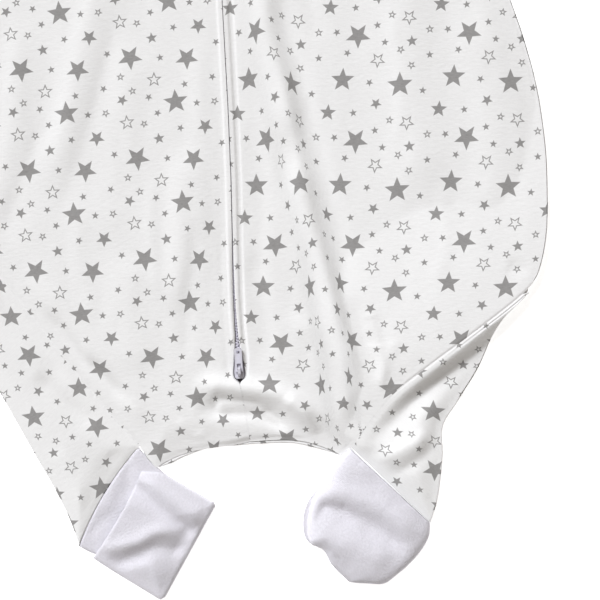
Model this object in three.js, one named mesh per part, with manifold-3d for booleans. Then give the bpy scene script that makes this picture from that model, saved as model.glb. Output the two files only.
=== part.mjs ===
// Footed sleeping bag for a baby, lying on its back with the front up.
// Frame in millimetres: +X to the right as seen from above, +Y towards the neck, +Z up.
// The origin is on the centre front line at half the garment's length, on the surface it lies on.
import * as THREE from "three";
import Module from "manifold-3d";
import { mergeVertices } from "three/addons/utils/BufferGeometryUtils.js";

// Driving sizes
const jersey = 1.5; // wall of the body cloth
const rib = 1.1; // wall of the cuff knit
const band = 8; // width of the neck and armhole bands
const play = 0.3; // clearance between pieces that lie on each other
const seam = 0.15; // how far each piece stays back from the line of a seam
const frontBase = jersey + play; // lowest the front can lie, on the back
const pillow = 2.2; // how far the front stands off the back away from its seams
const tapeWidth = 11.5;
const tapeUnder = 2.9;
const tapeWall = 1;
const coilHalf = 1.6;
const coilUnder = tapeUnder + tapeWall + play;
const coilTall = 1;
const zipTop = 286;
const zipFoot = -196;
const sliderLong = 13;
const sliderHalf = 3.7;
const tabLong = 16.8;
const tabHalf = 2.75;
const tabWall = 1.2;

// Zip line from the neck down: its side shift, and half the opening between the front edges
const zipLine = [
  { y: 300, x: 0, half: 0.5 },
  { y: 80, x: 0.4, half: 0.5 },
  { y: 0, x: -0.3, half: 0.5 },
  { y: -50, x: -1.4, half: 0.5 },
  { y: -84, x: -2.8, half: 0.6 },
  { y: -112, x: -4.0, half: 1.0 },
  { y: -136, x: -4.8, half: 1.7 },
  { y: -152, x: -4.9, half: 2.8 },
  { y: -166, x: -4.7, half: 4.3 },
  { y: -197, x: -4.4, half: 4.5 },
  { y: -200, x: -4.5, half: 1.2 },
  { y: -203, x: -4.3, half: seam },
  { y: -222, x: -1.7, half: seam },
  { y: -243, x: 0, half: seam },
];

// Rows of the upper front, the same on both halves: height on the zip line, then the outer edge
const upperRows = [
  { centre: 67, x: 210, y: 67, parts: 1 },
  { centre: 100, x: 200, y: 101, parts: 1 },
  { centre: 135, x: 187, y: 140, parts: 1 },
  { centre: 165, x: 172, y: 178, parts: 1 },
  { centre: 190, x: 160, y: 207, parts: 1 },
  { centre: 207, x: 150, y: 228, parts: 1 },
  { centre: 222, x: 133, y: 246, parts: 1 },
  { centre: 236, x: 121, y: 272, parts: 1 },
  { centre: 250, x: 115, y: 302, parts: 1 },
  { centre: 262, x: 114, y: 333, parts: 1 },
  { centre: 271, x: 116, y: 352, parts: 1 },
  { centre: 281, x: 92, y: 361, parts: 1 },
  { centre: 291, x: 68, y: 368, parts: 1 },
];

// Rows of the lower right front: crotch, slanting leg seam, hip corner, side
const rightRows = [
  { centre: -241.6, x: 66, y: -254.6, parts: 1 },
  { centre: -235, x: 72.5, y: -249, parts: 2 },
  { centre: -222, x: 80, y: -234, parts: 2 },
  { centre: -208, x: 91, y: -219.5, parts: 2 },
  { centre: -197, x: 109, y: -203.5, parts: 2 },
  { centre: -184, x: 135, y: -187.6, parts: 2 },
  { centre: -170, x: 165, y: -172, parts: 2 },
  { centre: -155, x: 196, y: -153.5, parts: 1 },
  { centre: -143, x: 211.5, y: -141, parts: 1 },
  { centre: -130, x: 219, y: -128, parts: 1 },
  { centre: -105, x: 225, y: -104, parts: 2 },
  { centre: -72, x: 228, y: -70, parts: 2 },
  { centre: -38, x: 228.5, y: -38, parts: 2 },
  { centre: 0, x: 225.5, y: 0, parts: 2 },
  { centre: 35, x: 218.5, y: 36, parts: 2 },
];

// Rows of the lower left front: its leg is spread, so the seam runs higher up the side
const leftRows = [
  { centre: -241.6, x: -68.5, y: -256, parts: 1 },
  { centre: -236, x: -80.3, y: -240.8, parts: 2 },
  { centre: -222, x: -92, y: -227, parts: 2 },
  { centre: -205, x: -108, y: -206, parts: 2 },
  { centre: -187, x: -124, y: -184, parts: 2 },
  { centre: -165, x: -140, y: -161, parts: 2 },
  { centre: -142, x: -156, y: -137, parts: 2 },
  { centre: -118, x: -172.5, y: -114, parts: 1 },
  { centre: -95, x: -190, y: -91, parts: 1 },
  { centre: -73, x: -208, y: -68, parts: 1 },
  { centre: -50, x: -223.5, y: -46, parts: 1 },
  { centre: -28, x: -228, y: -27, parts: 2 },
  { centre: 5, x: -225.5, y: 5, parts: 2 },
  { centre: 38, x: -218, y: 38, parts: 2 },
];

// Leg panels, from the cuff to the hip: edge on the seam (sx, sy), outer edge (ox, oy)
const rightLeg = [
  { sx: 72.6, sy: -251.6, ox: 127.2, oy: -309.8 },
  { sx: 76.5, sy: -234, ox: 134, oy: -291.9 },
  { sx: 84, sy: -219, ox: 139.4, oy: -262 },
  { sx: 96.5, sy: -204, ox: 141, oy: -240 },
  { sx: 118.5, sy: -189, ox: 153, oy: -222.6 },
  { sx: 145, sy: -177, ox: 169, oy: -200 },
  { sx: 163, sy: -167, ox: 181, oy: -177 },
  { sx: 178, sy: -158.5, ox: 189.5, oy: -164.5 },
  { sx: 194, sy: -149, ox: 202, oy: -153.5 },
  { sx: 202.5, sy: -144, ox: 209, oy: -146.8 },
];
const leftLeg = [
  { sx: -81.2, sy: -241.0, ox: -128.9, oy: -310.6 },
  { sx: -92, sy: -227, ox: -135, oy: -290 },
  { sx: -108, sy: -206, ox: -145, oy: -266 },
  { sx: -124, sy: -184, ox: -158, oy: -240 },
  { sx: -140, sy: -161, ox: -171, oy: -213 },
  { sx: -156, sy: -137, ox: -184, oy: -187 },
  { sx: -172.5, sy: -114, ox: -201, oy: -160 },
  { sx: -190, sy: -91, ox: -217, oy: -128 },
  { sx: -208, sy: -68, ox: -228, oy: -94 },
  { sx: -223.3, sy: -46.3, ox: -230, oy: -53 },
];

// Cuff sections, from the leg outward: left edge (lx, ly), right edge (rx, ry), both as worn down
const leftCuff = [
  { lx: -128.4, ly: -311, rx: -80.9, ry: -241.9, bow: 4 },
  { lx: -122.4, ly: -314.8, rx: -77, ry: -252.5, bow: 3 },
  { lx: -113, ly: -319.5, rx: -68.5, ry: -263.5, bow: 1 },
  { lx: -98, ly: -331, rx: -53, ry: -271.8, bow: 0 },
  { lx: -82, ly: -342, rx: -40, ry: -281, bow: 0 },
];
const leftCover = [
  { lx: -119.4, ly: -320, rx: -71, ry: -257, bow: 3, lip: 0 },
  { lx: -107, ly: -329, rx: -60.5, ry: -264.4, bow: 2, lip: 0 },
  { lx: -96, ly: -337, rx: -50, ry: -271, bow: 1, lip: 0 },
  { lx: -84.5, ly: -345, rx: -40, ry: -277.6, bow: 0, lip: 0 },
  { lx: -75, ly: -351, rx: -31.5, ry: -283.4, bow: 0, lip: 0 },
  { lx: -69.6, ly: -352.2, rx: -28.4, ry: -286.6, bow: -1, lip: 0 },
];
const rightCuff = [
  { lx: 70.5, ly: -254.5, rx: 124, ry: -311.5, bow: 0 },
  { lx: 60, ly: -267.5, rx: 120, ry: -322, bow: 0 },
  { lx: 49, ly: -281, rx: 109, ry: -336, bow: 0 },
];
const rightCover = [
  { lx: 71.6, ly: -251.9, rx: 127, ry: -310.7, bow: 0, lip: 0 },
  { lx: 62.4, ly: -260.2, rx: 124.5, ry: -319, bow: 0, lip: 0 },
  { lx: 54.3, ly: -271, rx: 119, ry: -330, bow: 0, lip: 0 },
  { lx: 46.5, ly: -280, rx: 110, ry: -339.5, bow: 0, lip: 1 },
  { lx: 39.5, ly: -288.5, rx: 100, ry: -346.5, bow: 0, lip: 3 },
  { lx: 35.6, ly: -298, rx: 90.5, ry: -352, bow: 0, lip: 4 },
  { lx: 34.7, ly: -309, rx: 78, ry: -351, bow: 0, lip: 4 },
  { lx: 37, ly: -318, rx: 66, ry: -348, bow: 0, lip: 2 },
  { lx: 41.5, ly: -323, rx: 57.5, ry: -336.5, bow: 0, lip: 0 },
];

// Folds of the cloth: line, height (below zero for a trough), spread left and right of the line
const frontFolds = [
  { line: [[20, 150], [31, 108], [32, 49], [41, 7], [48, -42]], tall: 4.5, left: 9, right: 16 },
  { line: [[44, -20], [50, -80], [62, -143], [74, -190], [84, -215]], tall: 5.5, left: 9, right: 17 },
  { line: [[30, -150], [56, -165], [66, -190], [82, -236]], tall: 3.5, left: 10, right: 9 },
  { line: [[118, 120], [132, 40], [140, -30], [136, -80]], tall: 2.4, left: 20, right: 24 },
  { line: [[170, 60], [186, 0], [190, -60], [178, -110]], tall: 2.2, left: 18, right: 20 },
  { line: [[186, -112], [196, -122], [206, -130]], tall: -2.2, left: 9, right: 9 },
  { line: [[100, -150], [128, -160], [160, -158]], tall: 2.0, left: 14, right: 14 },
  { line: [[-80, 130], [-96, 75], [-108, 31], [-134, -57]], tall: 5, left: 15, right: 11 },
  { line: [[-60, 60], [-76, 10], [-86, -45], [-98, -100]], tall: 3.5, left: 14, right: 13 },
  { line: [[-146, 80], [-152, 24], [-166, -37], [-180, -76]], tall: 3.8, left: 14, right: 12 },
  { line: [[-34, -20], [-38, -67], [-43, -107], [-52, -150]], tall: 3.8, left: 12, right: 10 },
  { line: [[-21, 60], [-22, -10], [-24, -60], [-26, -110]], tall: 2.2, left: 8, right: 8 },
  { line: [[-160, -106], [-120, -158], [-92, -200], [-74, -232]], tall: 3.2, left: 10, right: 11 },
  { line: [[-70, -100], [-84, -140], [-76, -190]], tall: 2.4, left: 16, right: 14 },
  { line: [[-20, -206], [5, -212], [36, -230], [52, -240]], tall: -2.4, left: 10, right: 10 },
  { line: [[-40, -226], [-10, -229], [22, -236]], tall: 2.6, left: 9, right: 9 },
  { line: [[40, 250], [52, 190], [44, 140]], tall: 3.6, left: 13, right: 15 },
  { line: [[-44, 262], [-58, 200], [-66, 150]], tall: 4, left: 14, right: 13 },
  { line: [[92, 300], [84, 230], [110, 150]], tall: 3, left: 16, right: 18 },
  { line: [[-96, 310], [-102, 240], [-126, 160]], tall: 3.2, left: 17, right: 15 },
  { line: [[134, 226], [104, 206], [70, 214]], tall: 2.8, left: 11, right: 12 },
  { line: [[-136, 222], [-112, 192], [-70, 196]], tall: 2.4, left: 12, right: 12 },
];
const legFolds = [
  { line: [[150, -222], [124, -252], [96, -274]], tall: 2.6, left: 8, right: 10 },
  { line: [[132, -238], [112, -240], [92, -238]], tall: 1.6, left: 9, right: 9 },
  { line: [[-196, -130], [-160, -178], [-132, -222], [-112, -262]], tall: 3.2, left: 12, right: 10 },
  { line: [[-205, -96], [-166, -146], [-138, -190]], tall: 1.8, left: 8, right: 8 },
  { line: [[-146, -238], [-132, -262], [-122, -286]], tall: 1.6, left: 7, right: 7 },
];
const coverFolds = [
  { line: [[-112, -320], [-84, -313], [-50, -308]], tall: -1.5, left: 6, right: 7 },
  { line: [[-106, -312], [-84, -298], [-44, -300]], tall: 1.6, left: 9, right: 8 },
  { line: [[-82, -268], [-63, -289], [-42, -304]], tall: -1.1, left: 6, right: 6 },
  { line: [[-100, -330], [-74, -325], [-52, -328]], tall: 1.4, left: 8, right: 9 },
  { line: [[44, -288], [73, -296], [102, -320]], tall: -1.5, left: 8, right: 7 },
  { line: [[46, -300], [70, -310], [92, -330]], tall: 1.9, left: 11, right: 10 },
  { line: [[70, -268], [92, -284], [114, -306]], tall: 1.3, left: 9, right: 9 },
];

const wasm = await Module();
wasm.setup();

const bag = new THREE.Group();
bag.name = "sleeping_bag";

const cloths = {
  body: new THREE.MeshStandardMaterial({ color: 0xeeeeec, roughness: 0.95, metalness: 0 }),
  cuff: new THREE.MeshStandardMaterial({ color: 0xe9e8f2, roughness: 0.95, metalness: 0 }),
  tape: new THREE.MeshStandardMaterial({ color: 0xe4e2ec, roughness: 0.9, metalness: 0 }),
  coil: new THREE.MeshStandardMaterial({ color: 0xd6d4e2, roughness: 0.5, metalness: 0 }),
  metal: new THREE.MeshStandardMaterial({ color: 0xdedce8, roughness: 0.35, metalness: 0.2 }),
};

function ease(from, to, value) {
  const t = Math.min(1, Math.max(0, (value - from) / (to - from)));
  return t * t * (3 - 2 * t);
}

// Value of a column at a height, from a table whose rows run downward
function down(table, column, y) {
  let i = 0;
  while (i < table.length - 2 && y < table[i + 1].y) i += 1;
  const a = table[i];
  const b = table[i + 1];
  const t = Math.min(1, Math.max(0, (a.y - y) / (a.y - b.y)));
  return a[column] + (b[column] - a[column]) * t;
}

// Smooth curve through the x and y columns of a table, at row number t
function through(rows, xName, yName, t) {
  const i = Math.min(rows.length - 2, Math.floor(t));
  const f = t - i;
  const at = (k) => rows[Math.min(rows.length - 1, Math.max(0, k))];
  const value = (name) => {
    const [p, q, r, s] = [at(i - 1)[name], at(i)[name], at(i + 1)[name], at(i + 2)[name]];
    const pull = (r - p) * 0.5;
    const push = (s - q) * 0.5;
    return (
      q + f * (pull + f * (3 * (r - q) - 2 * pull - push + f * (2 * (q - r) + pull + push)))
    );
  };
  return [value(xName), value(yName)];
}

// Nearest place on a line of points: distance, side (left above zero) and share of the length
function nearest(line, x, y) {
  let best = { gap: Infinity, side: 0, share: 0 };
  let total = 0;
  const runs = [];
  for (let i = 0; i < line.length - 1; i += 1) {
    const run = Math.hypot(line[i + 1][0] - line[i][0], line[i + 1][1] - line[i][1]);
    runs.push(run);
    total += run;
  }
  let before = 0;
  for (let i = 0; i < line.length - 1; i += 1) {
    const [ax, ay] = line[i];
    const dx = (line[i + 1][0] - ax) / runs[i];
    const dy = (line[i + 1][1] - ay) / runs[i];
    const t = Math.min(runs[i], Math.max(0, (x - ax) * dx + (y - ay) * dy));
    const gap = Math.hypot(x - ax - dx * t, y - ay - dy * t);
    if (gap < best.gap) {
      const side = dx * (y - ay) - dy * (x - ax);
      best = { gap, side, share: (before + t) / total };
    }
    before += runs[i];
  }
  return best;
}

// Height that a table of folds adds at a place
function folded(folds, x, y) {
  let z = 0;
  for (const fold of folds) {
    const near = nearest(fold.line, x, y);
    const spread = near.side > 0 ? fold.left : fold.right;
    const ends = ease(0, 0.22, near.share) * (1 - ease(0.78, 1, near.share));
    z += fold.tall * ends * Math.exp(-((near.gap / spread) ** 2));
  }
  return z;
}

function solid(points, faces) {
  const positions = new Float32Array(points.flat());
  let volume = 0;
  for (const [a, b, c] of faces) {
    const [p, q, r] = [points[a], points[b], points[c]];
    volume +=
      p[0] * (q[1] * r[2] - q[2] * r[1]) -
      p[1] * (q[0] * r[2] - q[2] * r[0]) +
      p[2] * (q[0] * r[1] - q[1] * r[0]);
  }
  const turned = volume < 0 ? faces.map(([a, b, c]) => [a, c, b]) : faces;
  const geometry = new THREE.BufferGeometry();
  geometry.setAttribute("position", new THREE.BufferAttribute(positions, 3));
  geometry.setIndex(turned.flat());
  return geometry;
}

function add(name, geometry, material) {
  geometry.computeVertexNormals();
  const mesh = new THREE.Mesh(geometry, material);
  mesh.name = name;
  bag.add(mesh);
}

// Cloth wall over a grid of plan points: grid[row][column] is [x, y]
function wall(grid, under, thick) {
  const rows = grid.length;
  const columns = grid[0].length;
  const points = [];
  const id = (side, r, c) => (side * rows + r) * columns + c;
  for (let side = 0; side < 2; side += 1) {
    for (let r = 0; r < rows; r += 1) {
      for (let c = 0; c < columns; c += 1) {
        const [x, y] = grid[r][c];
        const z = under(x, y);
        const slope = Math.hypot(under(x + 1, y) - under(x - 1, y), under(x, y + 1) - under(x, y - 1)) / 2;
        points.push([x, y, z + side * thick * Math.min(1.8, Math.hypot(1, slope))]);
      }
    }
  }
  const faces = [];
  const quad = (a, b, c, d) => faces.push([a, b, c], [a, c, d]);
  for (let r = 0; r < rows - 1; r += 1) {
    for (let c = 0; c < columns - 1; c += 1) {
      quad(id(1, r, c), id(1, r, c + 1), id(1, r + 1, c + 1), id(1, r + 1, c));
      quad(id(0, r, c), id(0, r + 1, c), id(0, r + 1, c + 1), id(0, r, c + 1));
    }
  }
  for (let c = 0; c < columns - 1; c += 1) {
    quad(id(0, 0, c), id(0, 0, c + 1), id(1, 0, c + 1), id(1, 0, c));
    quad(id(0, rows - 1, c + 1), id(0, rows - 1, c), id(1, rows - 1, c), id(1, rows - 1, c + 1));
  }
  for (let r = 0; r < rows - 1; r += 1) {
    quad(id(0, r + 1, 0), id(0, r, 0), id(1, r, 0), id(1, r + 1, 0));
    quad(id(0, r, columns - 1), id(0, r + 1, columns - 1), id(1, r + 1, columns - 1), id(1, r, columns - 1));
  }
  return solid(points, faces);
}

// Flattened tube of cloth: sections across it, with its far end open or closed
function sleeve(sections, { columns, steps, thick, base, tall, puff, folds, closed }) {
  const points = [];
  const faces = [];
  const count = 2 * (columns + 1) + 2;
  const places = [];
  for (let i = 0; i < (sections.length - 1) * steps + 1; i += 1) places.push(i / steps);
  const rings = { outer: [], inner: [] };
  for (const layer of ["outer", "inner"]) {
    const inset = layer === "outer" ? 0 : thick;
    places.forEach((place, row) => {
      const last = row === places.length - 1;
      const back = layer === "inner" && closed && last ? thick / 9 : 0;
      const t = place - back;
      const [lx, ly] = through(sections, "lx", "ly", t);
      const [rx, ry] = through(sections, "rx", "ry", t);
      const [bow, lip] = through(sections, "bow", "lip" in sections[0] ? "lip" : "bow", t);
      const width = Math.hypot(rx - lx, ry - ly);
      const [ux, uy] = [(rx - lx) / width, (ry - ly) / width];
      const round = Math.min(1.3, width / 6);
      const lead = "lip" in sections[0] ? lip : 0;
      const at = (along, z) => {
        const swell = bow * 4 * (along / width) * (1 - along / width);
        return [lx + ux * along - uy * swell, ly + uy * along + ux * swell, z];
      };
      const height = (x, y, along) => {
        const side = Math.min(1, Math.min(along, width - along) / 12);
        return base + tall + Math.max(0, (puff + folded(folds, x, y)) * side) - inset;
      };
      const low = inset + round;
      const high = width - inset - round;
      const ring = [];
      for (let c = 0; c <= columns; c += 1) ring.push(at(low + ((high - low) * c) / columns, base + inset));
      ring.push(at(width - inset, base + tall / 2));
      for (let c = columns; c >= 0; c -= 1) {
        const from = low + lead * (c === 0 ? 1 : 1 - c / columns);
        const along = from + ((high - from) * c) / columns;
        const [x, y] = at(along, 0);
        ring.push(at(along, height(x, y, along)));
      }
      ring.push(at(inset + lead * 0.35, base + tall / 2));
      rings[layer].push(points.length);
      points.push(...ring);
    });
  }
  const quad = (a, b, c, d) => faces.push([a, b, c], [a, c, d]);
  const rowsOf = places.length;
  for (let k = 0; k < count; k += 1) {
    const n = (k + 1) % count;
    for (let r = 0; r < rowsOf - 1; r += 1) {
      const [a, b] = [rings.outer[r], rings.outer[r + 1]];
      quad(a + k, b + k, b + n, a + n);
      const [c, d] = [rings.inner[r], rings.inner[r + 1]];
      quad(c + k, c + n, d + n, d + k);
    }
    const [o, i] = [rings.outer[0], rings.inner[0]];
    quad(o + k, o + n, i + n, i + k);
    if (!closed) {
      const [p, q] = [rings.outer[rowsOf - 1], rings.inner[rowsOf - 1]];
      quad(p + k, q + k, q + n, p + n);
    }
  }
  if (closed) {
    const lid = (start, flip) => {
      const face = (a, b, c) => {
        faces.push(flip ? [start + a, start + c, start + b] : [start + a, start + b, start + c]);
      };
      const top = (c) => 2 * columns + 2 - c;
      for (let c = 0; c < columns; c += 1) {
        face(c, top(c), c + 1);
        face(c + 1, top(c), top(c + 1));
      }
      face(columns, top(columns), columns + 1);
      face(0, count - 1, top(0));
    };
    lid(rings.outer[rowsOf - 1], false);
    lid(rings.inner[rowsOf - 1], true);
  }
  return solid(points, faces);
}

// Strip of cloth along a line of plan points, to the left of it, with a level for its underside
function strip(line, width, under, thick, from = 0) {
  const grid = line.map(([x, y], i) => {
    const a = line[Math.max(0, i - 1)];
    const b = line[Math.min(line.length - 1, i + 1)];
    const run = Math.hypot(b[0] - a[0], b[1] - a[1]);
    const [nx, ny] = [-(b[1] - a[1]) / run, (b[0] - a[0]) / run];
    return [
      [x + nx * from, y + ny * from],
      [x + nx * (from + width), y + ny * (from + width)],
    ];
  });
  return wall(grid, under, thick);
}

// Rows of one front half, each from the zip line to the outer edge
function frontGrid(side, lower) {
  const rows = [...lower, ...upperRows.map((row) => ({ ...row, x: row.x * side }))];
  const places = [];
  rows.forEach((row, i) => {
    if (i === rows.length - 1) places.push(i);
    else for (let k = 0; k < row.parts; k += 1) places.push(i + k / row.parts);
  });
  const near = [0, 3, 6.5, 10.5, 15];
  const far = 13;
  return places.map((t) => {
    const [outX, outY] = through(rows, "x", "y", t);
    const [centre] = through(rows, "centre", "centre", t);
    const half = down(zipLine, "half", centre);
    const inX = down(zipLine, "x", centre) + side * half;
    const toSeam = side * seam * 1.2;
    const width = Math.abs(outX - toSeam - inX);
    const row = [];
    const count = near.length + far;
    for (let c = 0; c < count; c += 1) {
      const reach = Math.min(1, width / 60);
      const lead = near[near.length - 1] * reach;
      const along = c < near.length ? near[c] * reach : lead + ((width - lead) * (c - near.length + 1)) / far;
      const s = along / width;
      const neck = 0.9 * ease(190, 291, centre);
      const rise = s + (1 - Math.sqrt(1 - 0.96 * s * s) + 0.2 * s * s * s - s) * neck;
      const crotch = 6 * Math.sin(Math.PI * s) * s * ease(-215, -241.6, centre);
      row.push([inX + side * along, centre + (outY - centre) * rise + crotch]);
    }
    return row;
  });
}

function outline(grid) {
  const last = grid[0].length - 1;
  return [
    ...grid[0],
    ...grid.slice(1).map((row) => row[last]),
    ...grid[grid.length - 1].slice(0, last).reverse(),
  ];
}

const seamOfRight = rightRows.slice(1, 9).map((row) => [row.x, row.y]);

function frontUnder(rim, side) {
  return (x, y) => {
    const away = Math.abs(x - down(zipLine, "x", y));
    const edge = nearest(rim, x, y).gap;
    const free = ease(0, 24, edge);
    let z = frontBase + 0.5 * ease(0, 4, edge) + pillow * free + folded(frontFolds, x, y) * free;
    const overTape = tapeUnder + tapeWall + play + 0.05;
    const tape = ease(-226, -212, y);
    z = Math.max(z, frontBase + (overTape - frontBase) * tape * (1 - ease(15.2, 23, away)));
    const coil = ease(-176, -166, y);
    const overCoil = coilUnder + coilTall + play;
    z = Math.max(z, overTape + (overCoil - overTape) * coil * (1 - ease(3.2, 7, away)) * tape);
    if (side > 0) {
      const near = nearest(seamOfRight, x, y);
      const inside = ease(0, 0.05, near.share);
      const roll = 3.3 * inside * Math.exp(-((near.gap / 6) ** 2)) * (1 - ease(0.9, 1, near.share));
      z = Math.max(z, frontBase + 2 * inside * (1 - ease(12, 24, near.gap)) + roll);
    }
    return Math.max(frontBase, z);
  };
}

const grids = { right: frontGrid(1, rightRows), left: frontGrid(-1, leftRows) };
const rims = { right: outline(grids.right), left: outline(grids.left) };
const unders = { right: frontUnder(rims.right, 1), left: frontUnder(rims.left, -1) };
add("front_right", wall(grids.right, unders.right, jersey), cloths.body);
add("front_left", wall(grids.left, unders.left, jersey), cloths.body);

// Leg panels: the right one runs on under the rolled edge of the front
function legGrid(rows, side, columns) {
  const places = [];
  for (let i = 0; i <= (rows.length - 1) * 2; i += 1) places.push(i / 2);
  return places.map((t) => {
    const [sx, sy] = through(rows, "sx", "sy", t);
    const [ox, oy] = through(rows, "ox", "oy", t);
    const width = Math.hypot(ox - sx, oy - sy);
    const row = [];
    const stay = side < 0 ? 2 * seam : 0;
    for (let c = 0; c <= columns; c += 1) {
      const s = (stay + (width - stay) * (c / columns)) / width;
      const bow = side < 0 ? (16 * s * (1 - s) * (1 - ease(0, 1.5, t))) / width : 0;
      row.push([sx + (ox - sx) * s + (oy - sy) * bow, sy + (oy - sy) * s - (ox - sx) * bow]);
    }
    return row;
  });
}

function legUnder(rim, side) {
  return (x, y) => {
    const edge = nearest(rim, x, y).gap;
    let free = ease(0, 20, edge);
    if (side > 0) free *= ease(4, 12, nearest(seamOfRight, x, y).gap);
    return frontBase + 0.5 * ease(0, 4, edge) * (side > 0 ? 0 : 1) + (pillow + folded(legFolds, x, y)) * free;
  };
}

const rightLegGrid = legGrid(rightLeg, 1, 7);
const leftLegGrid = legGrid(leftLeg, -1, 8);
const ringOf = (grid) => [...outline(grid), ...grid.map((row) => row[0]).reverse()];
add("leg_panel_right", wall(rightLegGrid, legUnder(ringOf(rightLegGrid), 1), jersey), cloths.body);
add("leg_panel_left", wall(leftLegGrid, legUnder(ringOf(leftLegGrid), -1), jersey), cloths.body);

// Back: one flat piece from the neck to both leg ends
const backPoints = [];
const sideOf = (grid, from) => grid.slice(from).map((row) => row[row.length - 1]);
const hipRight = sideOf(grids.right, 14).filter(([, y]) => y > -143);
const hipLeft = sideOf(grids.left, 14).filter(([x, y]) => y > -46);
for (const row of rightLegGrid) backPoints.push(row[row.length - 1]);
backPoints.push(...hipRight);
for (const [x, y] of [[44, 357], [20, 351], [0, 350], [-20, 351], [-44, 357]]) backPoints.push([x, y]);
backPoints.push(...hipLeft.reverse());
for (const row of [...leftLegGrid].reverse()) backPoints.push(row[row.length - 1]);
backPoints.push(...leftLegGrid[0].slice(0, -1).reverse());
const crotch = [
  [-68, -257.2],
  [-58.5, -254.6],
  [-47, -250],
  [-30, -245.6],
  [0, -244.6],
  [24, -245.1],
  [35, -246.6],
  [46, -249.9],
  [57, -253.6],
  [65.2, -256.6],
];
backPoints.push(...crotch, ...rightLegGrid[0].slice(0, -1));
const backShape = new THREE.Shape(backPoints.map(([x, y]) => new THREE.Vector2(x, y)));
const back = new THREE.ExtrudeGeometry(backShape, { depth: jersey, bevelEnabled: false, steps: 1 });
back.deleteAttribute("normal");
back.deleteAttribute("uv");
add("back_panel", mergeVertices(back, 1e-4), cloths.body);

// Cuffs and foot covers
const cuffShape = { columns: 8, steps: 2, thick: rib, puff: 0, closed: false, folds: [] };
add("cuff_left", sleeve(leftCuff, { ...cuffShape, base: rib + play, tall: 2 * rib + play }), cloths.cuff);
add("cuff_right", sleeve(rightCuff, { ...cuffShape, base: rib + play, tall: 2 * rib + play }), cloths.cuff);
const coverTall = 4 * rib + 3 * play + 0.4;
const coverShape = { columns: 10, steps: 2, thick: rib, puff: 1.6, closed: true, folds: coverFolds };
add("foot_cover_left", sleeve(leftCover, { ...coverShape, base: 0, tall: coverTall }), cloths.cuff);
add("foot_cover_right", sleeve(rightCover, { ...coverShape, base: 0, tall: coverTall }), cloths.cuff);

// Zip: two tapes, the closed coil, the slider with its bridge, and the pull tab
const zipPlaces = [zipTop, 200, 120, 80, 30, 0, -30, -60, -84, -112, -136, -152, -166, -184, -196, -206];
for (const [name, side] of [["zip_tape_left", -1], ["zip_tape_right", 1]]) {
  const grid = zipPlaces.map((y) => {
    const x = down(zipLine, "x", y);
    const part = seam + 1.6 * ease(-180, -190, y) * ease(-206, -203, y);
    return [[x + side * part, y], [x + side * tapeWidth, y]];
  });
  add(name, wall(grid, () => tapeUnder, tapeWall), cloths.tape);
}
const coilGrid = zipPlaces.filter((y) => y > -180).map((y) => {
  const x = down(zipLine, "x", y);
  return [[x - coilHalf, y], [x + coilHalf, y]];
});
const sliderTop = zipFoot + sliderLong;
const coilEnd = down(zipLine, "x", sliderTop);
coilGrid.push([[coilEnd - coilHalf, sliderTop + play], [coilEnd + coilHalf, sliderTop + play]]);
add("zip_coil", wall(coilGrid, () => coilUnder, coilTall), cloths.coil);

function blocks(pieces) {
  let whole = null;
  for (const geometry of pieces) {
    geometry.deleteAttribute("normal");
    geometry.deleteAttribute("uv");
    const merged = mergeVertices(geometry, 1e-4);
    const part = new wasm.Manifold(
      new wasm.Mesh({
        numProp: 3,
        vertProperties: new Float32Array(merged.attributes.position.array),
        triVerts: new Uint32Array(merged.index.array),
      }),
    );
    whole = whole ? whole.add(part) : part;
  }
  const mesh = whole.getMesh();
  const geometry = new THREE.BufferGeometry();
  geometry.setAttribute("position", new THREE.BufferAttribute(new Float32Array(mesh.vertProperties), 3));
  geometry.setIndex([...mesh.triVerts]);
  return geometry;
}

function plate(points, low, high) {
  const shape = new THREE.Shape(points.map(([x, y]) => new THREE.Vector2(x, y)));
  return new THREE.ExtrudeGeometry(shape, { depth: high - low, bevelEnabled: false }).translate(0, 0, low);
}

// Slider: wide shoulders at the foot, narrow waist towards the chain
const sliderX = down(zipLine, "x", -190);
const shoulder = [
  [sliderX - 2.6, sliderTop],
  [sliderX + 2.6, sliderTop],
  [sliderX + 3.1, sliderTop - 4],
  [sliderX + sliderHalf, zipFoot + 5],
  [sliderX + sliderHalf - 0.3, zipFoot + 1.2],
  [sliderX + 2.2, zipFoot],
  [sliderX - 2.2, zipFoot],
  [sliderX - sliderHalf + 0.3, zipFoot + 1.2],
  [sliderX - sliderHalf, zipFoot + 5],
  [sliderX - 3.1, sliderTop - 4],
];
const sliderFloor = jersey + play;
const topPlate = coilUnder + coilTall + play;
const plateWall = 1;
const pivotY = zipFoot + 5.6;
const pivotZ = topPlate + plateWall + 1.5;
const wedge = [
  [sliderX - 1.1, zipFoot + 0.4],
  [sliderX + 1.1, zipFoot + 0.4],
  [sliderX, zipFoot + 5.4],
];
const arch = new THREE.Shape();
arch.moveTo(pivotY - 4, topPlate + 0.5);
arch.lineTo(pivotY - 3.2, pivotZ + 1.6);
arch.lineTo(pivotY - 1.8, pivotZ + 2.4);
arch.lineTo(pivotY + 1.6, pivotZ + 2.4);
arch.lineTo(pivotY + 2.6, pivotZ + 1.6);
arch.lineTo(pivotY + 3.2, topPlate + 0.5);
const eye = new THREE.Path();
eye.moveTo(pivotY - 1.7, pivotZ - 1.1);
eye.lineTo(pivotY + 1.7, pivotZ - 1.1);
eye.lineTo(pivotY + 1.5, pivotZ + 1.1);
eye.lineTo(pivotY - 1.5, pivotZ + 1.1);
arch.holes.push(eye);
const archHalf = 1.1;
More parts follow.
